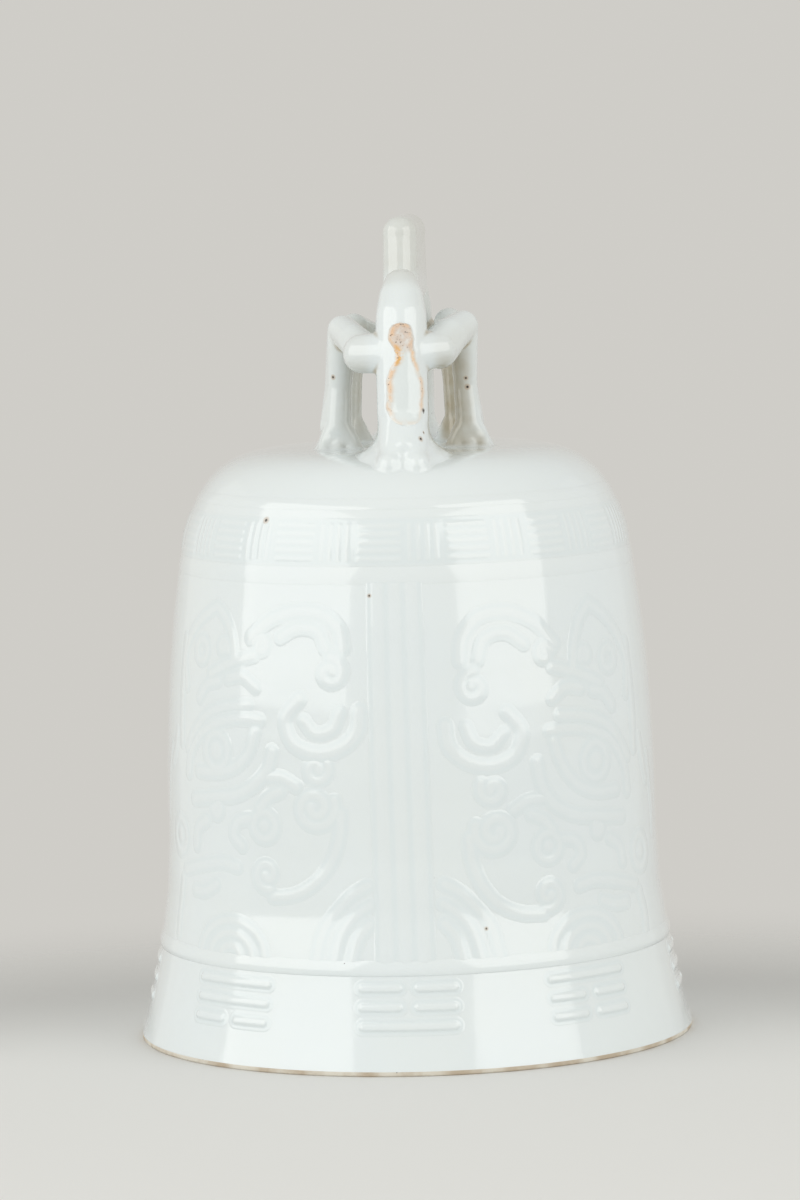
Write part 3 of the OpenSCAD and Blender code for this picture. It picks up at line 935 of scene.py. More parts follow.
MASK = (
    Sprig(
        "eyes",
        (
            Hoop((49.5, 84.5), 5.8, 1.5),
            Bead((49.5, 84.5), 2.4, 1.25),
            Line(((35.4, 94.6), (41, 94.8), (48.8, 93), (56, 89), (60.6, 82), (61.8, 74))),
            Line(((36.6, 91.5), (39, 84), (42.5, 79), (48, 75.8), (56.8, 75))),
            Line(((31.8, 86), (33, 79), (35.8, 74), (41.8, 70), (50, 68.4), (58.8, 67)), 2.2),
        ),
    ),
    Sprig(
        "brows",
        (
            Line(((38.8, 98.6), (46.8, 97.5), (53, 95), (57.6, 91), (62.2, 84))),
            Line(((37.5, 112.5), (45, 110), (52.5, 106.4))),
            Line(((36.8, 103.6), (41, 106.4), (45.8, 105.6))),
            Line(((49.6, 104.6), (53.6, 103.4), (56.8, 99.3))),
            Curl((35.6, 116.4), 3.8, 20),
            Curl((48, 114.6), 3.2, 200, -360),
            Hoop((56.8, 112.9), 3.8),
            Line(((51.4, 129.3), (47.8, 125.6), (45, 119), (43.8, 111))),
            Line(((51.4, 129.3), (57, 125), (62, 119), (65.4, 111), (63.8, 102))),
        ),
    ),
    Sprig(
        "horns",
        (
            Line(((13.8, 116), (14.4, 122), (18, 127.4), (25.8, 129), (32.6, 126), (38.8, 119)), 2.2),
            Line(((18, 116), (20, 121.6), (25.4, 123), (30, 119.6)), 1.8),
            Curl((16.8, 108.4), 5.2, 90, 430, 1.9),
            Line(
                ((9.8, 98), (10.6, 92), (14.4, 87.6), (20.8, 86), (26.4, 89), (28.2, 95), (24.6, 101)), 2.4
            ),
            Line(((14.6, 97.4), (16.4, 92.8), (20.6, 91.6), (23.4, 95)), 1.8),
        ),
    ),
    Sprig(
        "curls",
        (
            Curl((20.4, 79.3), 4.8, 150, 400),
            Curl((20.8, 67.4), 7.2, 160, 560, 1.9),
            Line(((14.6, 66), (15, 60), (17.4, 52), (20.8, 47), (26, 43.8), (31.8, 43))),
            Curl((33.6, 48.4), 5.2, 255, 430),
        ),
    ),
    Sprig(
        "whiskers",
        (
            Line(((25.4, 73), (29, 75.4), (33.2, 75.6))),
            Line(((29.8, 71.4), (33, 69.6), (35.4, 66.4))),
            Hoop((34.2, 61.8), 4.6),
            Bead((34.2, 61.8), 1.5),
            Line(((38.6, 63.4), (42.4, 62), (43.6, 58.6), (41, 55.6))),
            Curl((49.8, 65), 3.2, 120, 380),
            Line(((53.6, 61.6), (57.4, 58.8), (58.4, 54))),
        ),
    ),
    Sprig(
        "snout",
        (
            Line(((66, 116), (66.4, 106), (66.4, 96), (66, 86)), 2.2),
            Line(((69.6, 88), (71, 82), (73.2, 76))),
            Line(((74.8, 82), (76.6, 74), (78.4, 66), (78.8, 60)), 2.2),
            Hoop((67.5, 55.7), 5.6, 1.8),
            Bead((67.5, 55.7), 2.0),
            Line(((42.5, 49.6), (47, 50.4), (53, 49.4), (63.8, 46.4))),
            Line(((49.8, 44.4), (54, 42.6), (58.6, 42.4))),
            Line(((65.4, 44), (66.4, 38.4), (65.8, 33))),
        ),
    ),
)

CLOUDS = Sprig(
    "clouds",
    (
        Line(((8.6, 53.4), (12, 51), (15.4, 46.6), (18.6, 41.6), (20.6, 32)), 1.7),
        Line(((8.2, 47.8), (11.4, 45), (14.4, 40.4), (16.4, 32)), 1.7),
        Line(((8.4, 42.4), (10.6, 39), (12.2, 32)), 1.7),
    ),
    0.1,
)


def hill(reach: float) -> Line:
    """Draws one arc of the hills that stand on the waist ring, by its half width in degrees."""
    turns = np.radians(np.linspace(0, 180, 9))
    return Line(tuple((43.8 + reach * math.cos(t), 31.5 + 0.98 * reach * math.sin(t)) for t in turns), 1.6)


HILLS = Sprig("hills", (hill(10.2), hill(6.6), hill(3.0)), 0.1)


@dataclass
class RaisedWork:
    """Everything in low relief: masks, clouds, hills, straps, trigrams and the fret band.

    The strokes are drawn on a panel that starts at drawn_low and is drawn_height high, on a wall of
    drawn_radius. Left_lift says how much higher the left mask's strokes lie at each height. Pieces
    lie on shelves of slightly different heights, so that no two share a surface where they overlap.
    """

    wall: BellWall
    drawn_low: float = 32.0
    drawn_height: float = 106.0
    drawn_radius: float = 72.0
    cell: float = 0.5
    fine_cell: float = 0.35
    thickness: float = 0.7
    sunk: float = 0.06
    lowest_shelf: float = 0.02
    shelf_step: float = 0.011
    shelf_range: float = 0.07
    pool_reach: float = 2.0
    sprig_edge: float = 2.6
    strap_height: float = 0.14
    strap_pitch: float = 5.15
    rib_half: float = 1.75
    strap_window: float = 12.0
    bar_height: float = 0.5
    bar_half: float = 0.95
    bar_length: float = 28.0
    bar_gap: float = 4.0
    bar_edge: float = 0.9
    bar_window: float = 18.0
    fret_ground: float = 0.05
    fret_height: float = 0.13
    fret_units: int = 16
    fret_rows: int = 4
    fret_half: float = 0.5
    left_lift: tuple[Place, ...] = ((31, 1), (45, 7), (75, 8), (86, 4.5), (112, 5), (130, 1))

    def __post_init__(self) -> None:
        """Measures the panels between the straps."""
        low, high = span_of("rib_strap_front")
        self.panel_low = low[2]
        self.panel_high = high[2]
        self.scale_up = (high[2] - low[2]) / self.drawn_height
        self.scale_round = float(self.wall.radius((low[2] + high[2]) / 2)) / self.drawn_radius
        self.shelf = self.lowest_shelf

    def _to_mm(self, places: np.ndarray) -> np.ndarray:
        """Turns drawn (bearing, height) into millimetres round the wall and up the panel."""
        around = np.radians(places[:, 0]) * self.drawn_radius * self.scale_round
        up = self.panel_low + (places[:, 1] - self.drawn_low) * self.scale_up
        return np.column_stack((around, up))

    def _bearing(self, around: np.ndarray) -> np.ndarray:
        """Turns millimetres round the wall back into a bearing in radians."""
        return around / (self.drawn_radius * self.scale_round)

    def _field(
        self, tracks: Sequence[tuple[np.ndarray, float, float]], spots: np.ndarray, soft: float
    ) -> tuple[np.ndarray, np.ndarray]:
        """Measures how high the strokes stand.

        Args:
            tracks: Each stroke's points, half width and rise.
            spots: The places to measure at, in millimetres round and up.
            soft: The width of a stroke's sloping edge.

        Returns:
            The height at each place, from 0 to about 1, and the distance outside the nearest stroke.
        """
        empty = np.ones(len(spots))
        outside = np.full(len(spots), 99.0)
        for points, half, rise in tracks:
            gap = self._distance(points, spots) - half
            empty *= 1 - np.minimum(rise, 1) * (1 - soft_step(-soft / 2, soft / 2, gap))
            outside = np.minimum(outside, gap)
        return 1 - empty, outside

    @staticmethod
    def _distance(points: np.ndarray, spots: np.ndarray) -> np.ndarray:
        """Measures the distance from each spot to a chain of points."""
        if len(points) == 1:
            return np.linalg.norm(spots - points[0], axis=1)
        nearest = np.full(len(spots), 1e9)
        for a, b in zip(points[:-1], points[1:]):
            run = b - a
            t = np.clip(((spots - a) @ run) / max(run @ run, 1e-12), 0, 1)
            nearest = np.minimum(nearest, np.linalg.norm(spots - a - t[:, None] * run, axis=1))
        return nearest

    def _patch(
        self,
        name: str,
        window: tuple[float, float, float, float],
        relief: Callable[[np.ndarray], tuple[np.ndarray, np.ndarray]],
        both_ends: bool = False,
        cell: float | None = None,
    ) -> bpy.types.Object:
        """Models a thin piece of raised work on the wall.

        Args:
            name: The new piece's name.
            window: Its lowest and highest place round the wall and up it, in millimetres.
            relief: Gives the height and the distance outside the nearest stroke at each place.
            both_ends: Whether the same piece also stands on the other half of the bell.
            cell: The size of its faces, where it isn't the usual one.

        Returns:
            The piece, with the thickness of its glaze stored as pool.
        """
        self.shelf = self.lowest_shelf + (self.shelf + self.shelf_step) % self.shelf_range
        left, right, low, high = window
        cell = cell or self.cell
        Bench.clear()
        bpy.ops.mesh.primitive_grid_add(
            x_subdivisions=max(2, round((right - left) / cell)),
            y_subdivisions=max(2, round((high - low) / cell)),
            size=2 * MM,
        )
        piece = Bench.named(name)
        unit = (Bench.points(piece)[:, :2] + 1) / 2
        spots = np.column_stack((left + unit[:, 0] * (right - left), low + unit[:, 1] * (high - low)))
        height, outside = relief(spots)
        shelf = self.shelf - (self.shelf + self.sunk) * soft_step(1.3, self.pool_reach, outside)
        stand = self.wall.radius(spots[:, 1]) + height + shelf
        turn = self._bearing(spots[:, 0])
        Bench.place(piece, np.column_stack((stand * np.sin(turn), -stand * np.cos(turn), spots[:, 1])))
        pool = soft_step(-0.4, 0.5, outside) * (1 - soft_step(0.7, self.pool_reach, outside))
        Bench.mark(piece, "pool", pool)
        Bench.drop(piece, outside > self.pool_reach + 0.1)
        if both_ends:
            Bench.modify(piece, "MIRROR", use_axis=(False, True, False), use_mirror_merge=False)
        Bench.modify(piece, "SOLIDIFY", thickness=self.thickness * MM, offset=-1.0)
        Bench.soften(piece, 50.0)
        return piece

    def _sprig(self, sprig: Sprig, side: Side) -> bpy.types.Object:
        """Models one sprig on one side of the bell, at the front and the back."""
        lift = np.array(self.left_lift, float)

        def on_wall(places: np.ndarray) -> np.ndarray:
            """Places drawn points on the wall, a little higher on the left mask."""
            if side is Side.LEFT and sprig in MASK:
                places = places + np.column_stack(
                    (np.zeros(len(places)), np.interp(places[:, 1], lift[:, 0], lift[:, 1]))
                )
            return self._to_mm(places)

        tracks = [track for stroke in sprig.strokes for track in stroke.tracks(on_wall)]
        reach = self.pool_reach + 0.6
        low = np.min([points.min(0) - half for points, half, _ in tracks], axis=0) - reach
        high = np.max([points.max(0) + half for points, half, _ in tracks], axis=0) + reach
        bottom = max(low[1], self.panel_low - 0.3)
        top = min(high[1], self.panel_high + 0.3)
        window = (low[0], high[0], bottom, top)
        if side is Side.LEFT:
            window = (-high[0], -low[0], bottom, top)

        def relief(spots: np.ndarray) -> tuple[np.ndarray, np.ndarray]:
            """Measures the strokes' height and the distance outside them."""
            raised, outside = self._field(tracks, spots * (side.value, 1), self.sprig_edge)
            return sprig.height * raised, outside

        return self._patch(f"{sprig.name}_{side.name.lower()}_fired", window, relief, both_ends=True)

    def _strap(self, node: str, end: End) -> bpy.types.Object:
        """Models the three ribs of a strap, which lean a little on the front."""
        middle = 0.0 if end is End.FRONT else math.pi * self.drawn_radius * self.scale_round
        low, high = self.panel_low - 0.4, self.panel_high + 0.4
        window = (middle - self.strap_window, middle + self.strap_window, low, high)

        def relief(spots: np.ndarray) -> tuple[np.ndarray, np.ndarray]:
            """Measures the ribs' height and the distance outside them."""
            lean = end.value * (-0.6 - 1.1 * (spots[:, 1] - low) / (high - low))
            across = spots[:, 0] - middle - lean
            gap = np.min([np.abs(across - i * self.strap_pitch) for i in (-1, 0, 1)], axis=0) - self.rib_half
            return self.strap_height * (1 - soft_step(-1.1, 0.6, gap)), gap

        return self._patch(f"{node}_fired", window, relief)

    def _trigram(self, node: str, bearing: float, bars: tuple[int, int, int]) -> bpy.types.Object:
        """Models three bars, listed from the top: 1 is a whole bar and 0 a broken one."""
        low, high = span_of(node)
        half, length, gap = self.bar_half, self.bar_length, self.bar_gap
        heights = np.linspace(high[2] - half, low[2] + half, 3)
        middle = math.radians(bearing) * self.drawn_radius * self.scale_round
        tracks = []
        for height, whole in zip(heights, bars):
            stretch = self.drawn_radius * self.scale_round / float(self.wall.radius(height))
            ends = [(-length / 2, length / 2)]
            if not whole:
                ends = [(-length / 2, -gap / 2), (gap / 2, length / 2)]
            for start, stop in ends:
                a = (middle + (start + half) * stretch, height)
                b = (middle + (stop - half) * stretch, height)
                tracks.append((np.array((a, b)), half, 1.0))

        def relief(spots: np.ndarray) -> tuple[np.ndarray, np.ndarray]:
            """Measures the bars' height and the distance outside them."""
            raised, outside = self._field(tracks, spots, self.bar_edge)
            return self.bar_height * raised, outside

        window = (middle - self.bar_window, middle + self.bar_window, low[2] - 3.0, high[2] + 3.0)
        return self._patch(f"{node}_fired", window, relief, cell=self.fine_cell)

    def _fret(self) -> bpy.types.Object:
        """Models the key-fret band: level bars and upright bars by turns, on a thin ground."""
        low, high = span_of("fret_band")
        around = self.drawn_radius * self.scale_round
        line = self.fret_half
        unit = math.tau * around / self.fret_units
        pitch = (high[2] - low[2] - 2 * line) / self.fret_rows

        def relief(spots: np.ndarray) -> tuple[np.ndarray, np.ndarray]:
            """Measures the fret's height and the distance outside its bars."""
            along = np.mod(spots[:, 0] / unit + 0.5, 1.0)
            up = spots[:, 1] - low[2] - line
            level = np.abs(np.mod(up + pitch / 2, pitch) - pitch / 2) - line
            level_end = (np.abs(along - 0.28) - 0.24) * unit
            upright = np.min([np.abs(along - 0.62 - 0.1 * i) for i in range(4)], axis=0) * unit - line
            beyond = np.maximum(low[2] - spots[:, 1], spots[:, 1] - high[2])
            gap = np.minimum(np.maximum(level, level_end), upright)
            gap = np.maximum(gap, beyond)
            ground = self.fret_ground * (1 - soft_step(-0.4, 0.6, beyond))
            height = ground + self.fret_height * (1 - soft_step(-0.6, 0.5, gap))
            return height, np.where(beyond < 1.0, np.minimum(gap, 1.2), np.maximum(beyond, 1.2))

        window = (-math.pi * around, math.pi * around, low[2] - 2.6, high[2] + 2.6)
        return self._patch("fret_band_fired", window, relief)

    def build(self, dresser: Dresser) -> None:
        """Makes every piece of raised work and dresses it."""
        dresser.dress(self._fret(), "fret_band")
        for end in End:
            node = f"rib_strap_{end.name.lower()}"
            dresser.dress(self._strap(node, end), node)
        trigrams = {
            "trigram_front": (0, (0, 0, 1)),
            "trigram_front_right": (42, (1, 0, 0)),
            "trigram_right": (90, (0, 1, 0)),
            "trigram_back_right": (138, (1, 1, 1)),
            "trigram_back": (180, (0, 1, 1)),
            "trigram_back_left": (222, (0, 0, 0)),
            "trigram_left": (270, (1, 0, 1)),
            "trigram_front_left": (318, (1, 1, 0)),
        }
        for node, (bearing, bars) in trigrams.items():
            dresser.dress(self._trigram(node, bearing, bars), node)
        for side in Side:
            for sprig in MASK:
                node = f"mask_{side.name.lower()}_{sprig.name}"
                dresser.dress(self._sprig(sprig, side), node)
            for sprig in (CLOUDS, HILLS):
                dresser.dress(self._sprig(sprig, side), f"{sprig.name}_{side.name.lower()}")


# ---- the beast loop ----------------------------------------------------------------------


@dataclass(frozen=True)
class Lump:
    """A ball of clay: its middle and its radius."""

    spot: Point
    radius: float

    def mirrored(self, side: int, end: int) -> "Lump":
        """Returns the same ball on the given side and end of the loop."""
        x, y, z = self.spot
        return Lump((x * side, y * end, z), self.radius)


@dataclass(frozen=True)
class Limb:
    """How one leg differs from the others, in millimetres.

    Its place is moved outwards by out, its knee up by raised and outwards by knee, and the ridge down
    its outer side in by slim. Bend is its radius above the arm, and stub the radius of the arm's end.
    """

    side: Side
    end: End
    out: float
    raised: float
    knee: float
    slim: float
    bend: float
    stub: float


LIMBS = (
    Limb(Side.LEFT, End.FRONT, 1.15, 2.7, 0.0, 0.0, 4.7, 5.7),
    Limb(Side.RIGHT, End.FRONT, 0.1, 3.3, 0.9, 1.6, 5.4, 4.9),
    Limb(Side.LEFT, End.BACK, -0.85, 1.8, 0.0, 0.5, 4.6, 5.4),
    Limb(Side.RIGHT, End.BACK, -3.7, 2.8, 0.0, 0.5, 4.6, 5.4),
)


@dataclass(frozen=True)
class ToastAndShade:
    """How strongly the toast mark is laid in each kind of place, from 0 to 1.

    On the limbs and the crest it is toasted glaze. On the inner sides, the lower right limbs, the
    undersides, the right-facing faces and in the creases it is painted shade in toast-brown.
    """

    limbs: float = 0.12
    # The next three are painted shade in toast-brown: on the limbs' inner sides, on the inner faces of the
    # lower right limbs with a little tan tint, and on the limbs' undersides.
    inner_side_shade: float = 0.28
    right_limb_shade: float = 0.52
    underside_shade: float = 0.30
    crest: float = 0.32
    # Painted shade in toast-brown on faces that turn to the right.
    right_face_shade: float = 0.10
    far_end: float = 0.18
    # Painted shade in toast-brown in the creases, high and low.
    high_crease_shade: float = 1.4
    low_crease_shade: float = 0.40


@dataclass
class BeastLoop:
    """The two-headed beast that the bell hangs by, pressed together from rolls of clay.

    Heights are above the crown's top, and X is measured from the loop's own middle. The loop is modelled
    as one form, so that its limbs run into each other softly, and is then cut into its pieces.
    """

    wall: BellWall
    off_middle: float = 1.35
    neck_radius: float = 7.5
    neck_foot: float = 36.4
    neck_head: float = 26.6
    arm_height: float = 28.3
    voxel: float = 0.5
    melted_below: float = 4.8
    head_melted_below: float = 11.0
    arm_x: float = 8.4
    foot_spreads: tuple[Place, ...] = ((6.0, 8.4), (2.6, 10.4), (0.2, 12.4))
    crest_near: Place = (-0.5, 61.8)
    crest_far: Place = (1.5, 62.2)
    toast_and_shade: ToastAndShade = ToastAndShade()
    scar: tuple[Place, ...] = (
        (0.0, 0.0), (2.5, 0.5), (4.5, 2.3), (5.3, 4.8), (5.4, 9.0), (5.1, 12.7), (4.2, 16.2), (3.0, 18.9),
        (2.6, 20.7), (3.0, 22.6), (3.6, 24.8), (3.4, 27.0), (2.4, 28.5), (0.0, 29.3),
    )
    parts: list[bpy.types.Object] = field(default_factory=list)

    # -- rolls of clay

    def _ball(self, lump: Lump) -> bpy.types.Object:
        """Adds one ball."""
        x, y, z = lump.spot
        Bench.clear()
        bpy.ops.mesh.primitive_uv_sphere_add(
            segments=24,
            ring_count=14,
            radius=lump.radius * MM,
            location=((x + self.off_middle) * MM, y * MM, (z + self.wall.top) * MM),
        )
        bpy.ops.object.transform_apply(location=True, rotation=True, scale=True)
        return bpy.context.object

    def _web(self, *lumps: Lump) -> None:
        """Adds one convex mass round all the lumps."""
        mass = Bench.join("mass", [self._ball(lump) for lump in lumps])
        bpy.ops.object.mode_set(mode="EDIT")
        bpy.ops.mesh.select_all(action="SELECT")
        bpy.ops.mesh.convex_hull()
        bpy.ops.object.mode_set(mode="OBJECT")
        self.parts.append(mass)

    def _roll(self, *lumps: Lump) -> None:
        """Adds a roll of clay that runs through the lumps, one stretch at a time."""
        for first, second in zip(lumps[:-1], lumps[1:]):
            self._web(first, second)

    # -- the beast

    def _neck(self, end: int) -> None:
        """Rolls one neck, which leans in above the arms and has a flat top edge."""
        lumps = (
            Lump((0, -self.neck_foot, 3), self.neck_radius),
            Lump((0, -self.neck_foot + 1.6, self.arm_height), self.neck_radius),
            Lump((0, -self.neck_head - 4.2, 38.6), self.neck_radius - 0.1),
            Lump((0, -self.neck_head - 0.6, 43.6), 6.6),
            Lump((0, -self.neck_head + 2.8, 47.2), 5.2),
        )
        self._roll(*(lump.mirrored(1, end) for lump in lumps))

    def _head(self, end: int) -> None:
        """Presses one head down on the crown: a muzzle with two lips, a nose and two eyes."""
        for side in (-1, 1):
            self._web(
                Lump((0, -self.neck_foot - 0.8, 9), self.neck_radius - 0.4).mirrored(side, end),
                Lump((3.4, -self.neck_foot - 4.0, 1.2), 4.6).mirrored(side, end),
                Lump((3.0, -46.8, -1.4), 3.8).mirrored(side, end),
            )
            self._web(
                Lump((3.6, -47.0, -2.0), 4.2).mirrored(side, end),
                Lump((4.0, -49.0, -2.4), 3.6).mirrored(side, end),
            )
            self._roll(
                Lump((3.0, -43.2, 6.6), 1.7).mirrored(side, end),
                Lump((2.4, -44.0, 7.2), 1.5).mirrored(side, end),
            )
        for height, spread in self.foot_spreads:
            foot = [Lump((0, -36.8, height), self.neck_radius - 0.2)]
            for turn in np.linspace(0, 2 * np.pi, 12, endpoint=False):
                x, y = spread * np.cos(turn), -36.8 + spread * np.sin(turn)
                foot.append(Lump((x, y, 2.3 - 0.1 * np.hypot(x, y)), 1.6))
            self._web(*(lump.mirrored(1, end) for lump in foot))
        self._roll(
            Lump((0.2, -43.6, 6.2), 2.4).mirrored(1, end),
            Lump((0.4, -46.8, 2.8), 2.7).mirrored(1, end),
        )

    def _leg(self, limb: Limb) -> None:
        """Rolls one arm out of the neck, which ends in a stub, and the leg that bends down behind it."""
        side, end = limb.side.value, limb.end.value

        def lump(x: float, y: float, z: float, radius: float) -> Lump:
            """Returns a ball on this limb's side and end."""
            return Lump((x, y, z), radius).mirrored(side, end)

        reach = max(limb.out, -1.6)
        arm, out, up = self.arm_height, limb.out, limb.raised
        knee = lump(16.4 + out + limb.knee, -15.4, 31.8 + up, 4.5)
        shin = lump(17.6 + out, -13.6, 18.0, 3.5)
        ankle = lump(18.4 + out, -13.6, 6.5, 3.9)
        ridge = (
            lump(18.7 + out + 0.6 * limb.knee, -11.2, 30.6 + up, 2.4),
            lump(20.6 + out - limb.slim, -10.4, 18.0, 1.7),
            lump(21.6 + out - 0.7 * limb.slim, -10.6, 6.0, 2.5),
        )
        self._roll(
            lump(4.4, -33.8, arm + 0.3, 5.9),
            lump(10.9 + 0.4 * reach, -30.9, arm + 5.8 - limb.stub, limb.stub),
        )
        self._roll(
            lump(10.4 + 0.4 * reach, -29.2, arm + 0.9, 0.5 + limb.bend),
            lump(13.4 + 0.7 * reach, -23.6, arm + 2.2 + 0.6 * up, limb.bend),
            knee,
            shin,
            ankle,
        )
        self._roll(*ridge)
        self._web(knee, shin, ridge[0], ridge[1])
        self._web(shin, ankle, ridge[1], ridge[2])
        self._web(
            ankle,
            lump(13.8 + out, -14.4, 0.4, 2.6),
            lump(22.8 + out, -13.0, 0.4, 2.6),
            lump(18.6 + out, -9.6, 0.4, 2.8),
        )
        for toe, further in ((-4.2, 0.0), (0.0, 0.9), (4.2, 0.2)):
            self._roll(
                lump(18.4 + out + toe * 0.8, -14.2, 2.6, 2.4),
                lump(18.4 + out + toe, -16.4 - further, 0.1, 1.7),
            )

    def _back(self) -> None:
        """Rolls the joined back and the crest that rises on it, a little askew."""
        self._roll(Lump((0, -24, 44.6), 5.0), Lump((0, 24, 44.6), 5.0))
        ends = ((*self.crest_near, -1), (*self.crest_far, 1))
        crest = [
            Lump((x, y * end, z), radius)
            for x, top, end in ends
            for y, z, radius in ((11.4, 46.0, 5.2), (6.6, top, 5.0))
        ]
        self._web(*crest)
        self._roll(*(Lump((x, 6.8 * end, top), 5.2) for x, top, end in ends))

    def _seat(self) -> None:
        """Adds a copy of the crown, a little sunk, for the clay to run out on."""
        crown = self.wall.outline[self.wall.outline[:, 1] > self.wall.shoulder + 6]
        section = np.vstack((crown - (0.08, 0.12), crown[::-1] - (3.2, 3.4)))
        self.parts.append(Bench.lathe("seat", section, 96))

    # -- the whole form

    def press(self) -> bpy.types.Object:
        """Presses every roll together into one soft form and finds where it is toasted and where painted
        shade goes.

        Returns:
            The form, with its toast and its painted shade stored on it together as toast.
        """
        for end in End:
            self._neck(end.value)
            self._head(end.value)
        for limb in LIMBS:
            self._leg(limb)
        self._back()
        self._seat()
        form = Bench.join("beast_form", self.parts)
        Bench.modify(form, "REMESH", mode="VOXEL", voxel_size=self.voxel * MM)
        Bench.modify(form, "SMOOTH", factor=0.5, iterations=11)
        spots = Bench.points(form)
        on_head = (np.abs(spots[:, 0]) < 15) & (np.abs(spots[:, 1]) > 27)
        melted = np.where(on_head, self.head_melted_below, self.melted_below)
        low = spots[:, 2] < self.wall.top + melted
        group = form.vertex_groups.new(name="melted")
        group.add(np.flatnonzero(low).tolist(), 1.0, "REPLACE")
        Bench.modify(form, "SMOOTH", factor=0.5, iterations=34, vertex_group="melted")
        form.vertex_groups.clear()
        # The toast mark holds painted shade as well as toasted glaze.
        Bench.mark(form, "toast", self._toast(form))
        return form

    def _toast(self, form: bpy.types.Object) -> np.ndarray:
        """Works out the toast mark: toasted thin glaze on the limbs and crest, and painted shade in
        toast-brown in the creases, on the inner sides, on the undersides and on the right-facing sides.
        """
        mesh = form.data
        spots = Bench.points(form) - (self.off_middle, 0, self.wall.top)
        normals = np.empty(spots.size)
        mesh.vertex_normals.foreach_get("vector", normals)
        normals = normals.reshape(-1, 3)
        ends = np.empty(len(mesh.edges) * 2, int)
        mesh.edges.foreach_get("vertices", ends)
        first, second = ends.reshape(-1, 2).T
        count = np.maximum(np.bincount(np.concatenate((first, second)), minlength=len(spots)), 1)

        def spread(values: np.ndarray) -> np.ndarray:
            """Averages a value over each vertex's neighbours."""
            total = np.bincount(first, values[second], len(values))
            return (total + np.bincount(second, values[first], len(values))) / count

        hollow = sum((spread(spots[:, i]) - spots[:, i]) * normals[:, i] for i in range(3)) / self.voxel**2
        x, y, z = spots.T
        inward = -np.sign(x) * normals[:, 0]
        limb = soft_step(8.0, 11.0, np.abs(x)) * (1 - soft_step(33.0, 38.0, z))
        right = soft_step(8.0, 11.0, x)
        level = self.toast_and_shade
        # Painted shade in toast-brown: the inner sides, the lower right limbs, the undersides and the
        # right-facing faces. The limbs and the crest get toasted glaze.
        toast = level.limbs * limb + level.inner_side_shade * limb * soft_step(-0.2, 0.6, inward)
        low_down = 1 - soft_step(25, 33, z)
        toast += level.right_limb_shade * right * limb * soft_step(-0.75, 0.0, inward) * low_down
        toast += level.underside_shade * limb * soft_step(0.1, 0.8, -normals[:, 2])
        toast += level.crest * soft_step(46.0, 53.0, z)
        toast += level.right_face_shade * soft_step(0.2, 0.9, normals[:, 0]) * (z > 12)
        toast += level.far_end * soft_step(-10.0, 16.0, y) * soft_step(1.0, 6.0, z)
        for _ in range(5):
            toast, hollow = spread(toast), spread(hollow)
        # Painted shade in toast-brown in the creases.
        crease_shade = soft_step(0.02, 0.09, hollow) * soft_step(1.0, 4.0, z)
        toast += crease_shade * np.where(z > 20, level.high_crease_shade, level.low_crease_shade)
        return np.clip(toast, 0, 0.95) * soft_step(-0.8, 1.2, z)

    def front_of(self, form: bpy.types.Object, x: float, z: float) -> Point:
        """Finds the place on the form that is seen from the front at an X and a height above the crown."""
        start = Vector((x + self.off_middle, -90.0, z + self.wall.top)) * MM
        hit, spot, _, _ = form.ray_cast(start, Vector((0, 1, 0)))
        if not hit:
            LOG.info("no clay at %.1f, %.1f", x, z)
        return tuple(value / MM for value in (spot if hit else start))

    def _regions(self) -> dict[str, tuple[np.ndarray, np.ndarray]]:
        """Says which box cuts out each piece of the loop.

        Returns:
            For each CAD node, the lowest and the highest corner of its box, in millimetres.
        """
        arm_x, head_y, neck_y = self.arm_x, 26.4, 20.5
        paw_z, head_z, crest_z, past = 8.5, 11.0, 51.5, 90.0
        shift = (self.off_middle, 0.0, self.wall.top)

        def box(
            x: Place, y: Place, z: Place, side: int = 1, out: int = 1
        ) -> tuple[np.ndarray, np.ndarray]:
            """Turns three ranges into two corners, on a side and an end of the loop."""
            corners = np.array((x, y, z)).T * (side, out, 1)
            return corners.min(axis=0) + shift, corners.max(axis=0) + shift

        middle = (-arm_x, arm_x)
        regions = {
            "loop_crest": box((-past, past), (-past, past), (crest_z, past)),
            "beast_back": box(middle, (-neck_y, neck_y), (34.0, crest_z)),
        }
        for end in End:
            out, place = -end.value, end.name.lower()
            regions[f"neck_{place}"] = box(middle, (neck_y, past), (head_z, crest_z), 1, out)
            regions[f"head_{place}"] = box((-17.0, 17.0), (head_y, 58.0), (-past, head_z), 1, out)
            for side in Side:
                where, s = f"{place}_{side.name.lower()}", side.value
                regions[f"leg_{where}"] = box((arm_x, past), (0.0, past), (paw_z, past), s, out)
                regions[f"paw_{where}"] = box((6.0, 31.0), (3.0, head_y), (-past, paw_z), s, out)
        return regions

    # -- the scar on each neck

